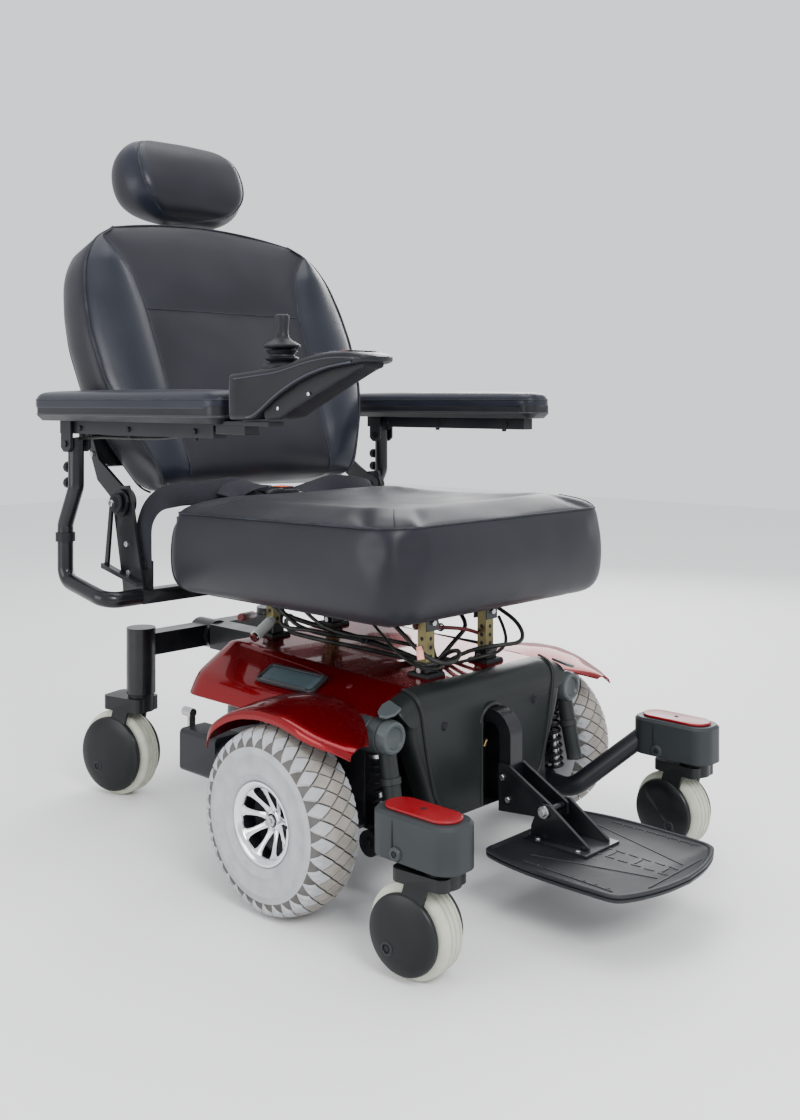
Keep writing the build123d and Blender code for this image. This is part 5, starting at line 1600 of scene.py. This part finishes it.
def cables():
    """The looms under the seat with their plug, breaker, lock bar and ties."""
    for name, (radius, points) in LOOMS.items():
        material = HARNESS_RED if name == "cross_red" else CABLE
        line = soft_line(f"cable_{name}", [mm(*p) for p in points], radius, material, "root")
        if name == "loop_right":
            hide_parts("wiring")
    plug = turned([(-9, 5.2), (4, 5.2), (5, 4.4), (9, 4.4), (9.6, 3.6)], mm(-112, -214, 338),
                  (0.1, 0.3, 0.9), 24)
    piece("cable_plug", *plug, "root", PINK, (), "cable_jacket")
    breaker, lean = mm(-112, 124, 330), Vector((0.86, 0.12, 0.42))
    block = [(-24, 7.5), (-24, 9), (14, 9), (14, 7), (22, 7), (23.5, 5.5), (23.5, 0.5)]
    piece("breaker_body", *turned(block, breaker, lean, 40), "root", IVORY, (), "cable_jacket")
    cap = turned([(0, 8), (5, 8.4), (6, 7), (6, 0.5)], breaker - lean.normalized() * mm(29), lean, 32)
    piece("breaker_cap", *cap, "root", SILVER, (), "screws")
    bar = turned([(-30, 5.4), (-28, 6.4), (28, 6.4), (30, 5.4)], mm(-104, 178, 341), (0.85, 0.5, -0.1), 32)
    piece("lock_bar", *bar, "root", HARNESS_RED, (), "cable_jacket")
    for k, place in enumerate(((-70, -60, 330), (-96, 80, 350), (-30, -182, 360), (98, -60, 334))):
        tie = turned([(-2, 4.4), (-2, 6), (2, 6), (2, 4.4)], mm(*place), (0.5, 0.8, 0.2), 24, wrap=True)
        piece(f"cable_tie_{k + 1}", *tie, "root", GREY, (), "cable_jacket")


# ---- recliner, armrest and footrest fittings -----------------------------------------------------------
def recliner():
    """The recliner's discs and bosses on its pivot, and the bolts of its plates."""
    pivot = joint_at("backrest_recline")
    for name, side in SIDES.items():
        way = X * side
        disc_at, boss_at = (pivot + X * (side * mm(x) - pivot.x) for x in (283, 302))
        disc = [(-1, 25), (2.4, 25), (3.4, 24), (3.4, 20.5), (2.6, 19.8), (2.6, 12), (3.6, 11.2),
                (3.6, 0.4)]
        piece(f"recline_disc_{name}", *turned(disc, disc_at, way, 64), "backrest", FRAME_PAINT, (),
              "frame_black",
              smooth=30)
        boss = [(-2, 16), (0.8, 16), (1.6, 15.2), (1.6, 9), (2.6, 8.4), (5.4, 8.2), (6.2, 7.2), (6.2, 0.4)]
        piece(f"recline_boss_{name}", *turned(boss, boss_at, way, 48), "root", SOFT_BLACK, (), "screws",
              smooth=28)
        bolts = [("recline_bolt", "root", stud(boss_at, way, 5.6, 10.6, foot=6))]
        for k, (up, deep) in enumerate(((84, 92), (112, 96))):
            bolts.append(("plate_bolt", "backrest", stud(on_back(side * 282.5, up, deep), way, 5, 3.8),
                          k + 1))
        for k, (y, z) in enumerate(((250, 470), (244, 425))):
            bolts.append(("ear_bolt", "root", stud(mm(side * 290, y, z), way, 5, 3.8), k + 1))
        for part, body, shape, *number in bolts:
            label = "_".join([part, name, *map(str, number)])
            piece(label, *shape, body, STEEL, (), "screws", smooth=25)


ARM_X = 350


def armrest_fittings():
    """The trays' bolts and lips, the knobs on the armrest posts and the controller's lead."""
    for name, side in SIDES.items():
        x = side * ARM_X
        low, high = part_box(f"arm_pad_{name}")
        heads = []
        for y in (-20, 140, 270):
            heads.append(stud(mm(x - 12.5, y, 655), -X, 4.4, 3.4))
            heads.append(stud(mm(x + 12.5, y, 655), X, 4.4, 3.4))
            heads.append(stud(mm(x, y + 14, 646), -Z, 4.4, 4.2))
        piece(f"tray_bolts_{name}", *merged(*heads), f"armrest_{name}", SOFT_BLACK, (), "screws", smooth=25)
        loop = plan_loop(x, (high.x - low.x) * 500 - 2.6, low.y * 1000 + 2.4, high.y * 1000 - 2.4, 19, 19,
                         676, 90)
        soft_line(f"tray_lip_{name}", loop, 2.0, TRAY_EDGE, f"armrest_{name}", cyclic=True)
        knob = [(0, 4.5), (5, 4.5), (5.5, 8), (7, 9), (13, 9), (14.5, 8), (14.5, 0.4)]
        knobs = [turned(knob, mm(x, 314, z), Y, 14) for z in (592, 567)]
        knobs.append(turned([(-7, 13.4), (-7, 15.5), (7, 15.5), (7, 13.4)], mm(x, 334, 480), Z, 32,
                            wrap=True))
        piece(f"post_knobs_{name}", *merged(*knobs), "root", SOFT_BLACK, (), "frame_black", smooth=30)
    lead = [mm(*p) for p in ((-350, 10, 650), (-343, 60, 643), (-345, 150, 641), (-347, 250, 642),
                             (-349, 320, 636))]
    soft_line("controller_lead", lead, 2.6, CABLE, "armrest_right")


def footrest_fittings():
    """The hinge, gusset and plate bolts of the footrest, and its height stop."""
    hinge = joint_at("footplate_fold")
    for name, side in SIDES.items():
        way = X * side
        head = [(0, 9), (2.4, 9), (3.2, 8), (3.2, 5.4), (6.8, 5.2), (7.4, 4.4), (7.4, 0.3)]
        piece(f"hinge_bolt_{name}", *turned(head, hinge + way * mm(27), way, 32), "footplate", STEEL, (),
              "screws",
              smooth=25)
        for k, (y, z) in enumerate(((-290, 158), (-300, 128))):
            bolt = stud(mm(side * 19, y, z), way, 4.6, 3.8)
            piece(f"gusset_bolt_{name}_{k + 1}", *bolt, "root", STEEL, (), "screws", smooth=25)
        for k, y in enumerate((-362, -428)):
            cap = stud(mm(side * 33, y, 91), Z, 4.2, 2.2, 24, -0.4, (0.8, 1.0))
            piece(f"plate_screw_{name}_{k + 1}", *cap, "footplate", STEEL, (), "screws")
    stop = cuboid((-9, -322, 118), (9, -304, 130))
    soften(piece("height_stop", *stop, "root", BLACK, (), "frame_black"), 1.5, 3)


# ---- the rest of the frame ------------------------------------------------------------------------
DRESSED = {
    FRAME_PAINT: ("base_frame", "seat_frame", "back_frame", "rear_beam", "arm_posts", "footrest_tube",
                  "footplate_hinge", "recline_lever", "headrest_stem"),
    BLACK: ("gearboxes", "drive_motors", "arm_tray_left", "arm_tray_right"),
    CASE: ("batteries", "electronics_module"),
    STEEL: ("freewheel_lever_left", "freewheel_lever_right"),
}

# ---- the chair --------------------------------------------------------------------------------------
for build in (seat, backrest, headrest, arm_pads):
    build()
for side_name, side_sign in SIDES.items():
    drive_tyre(side_name, side_sign)
    drive_rim(side_name, side_sign)
    caster("rear", side_name, 74.0)
    caster("front", side_name, 58.4)
    front_head(side_name, side_sign)
    suspension(side_name, side_sign)
    strut_head(side_name, side_sign)
for build in (shroud, grommets, front_cover):
    build()
for side_name, side_sign in SIDES.items():
    deck_inset(side_name, side_sign)
    fender(side_name, side_sign)
for build in (footplate, belt, buckle, pod, stick_and_bellows, seat_posts, cables, recliner,
              armrest_fittings,
              footrest_fittings):
    build()
for dress_material, dress_nodes in DRESSED.items():
    for dress_node in dress_nodes:
        dressed(dress_node, dress_material)
make_stage()
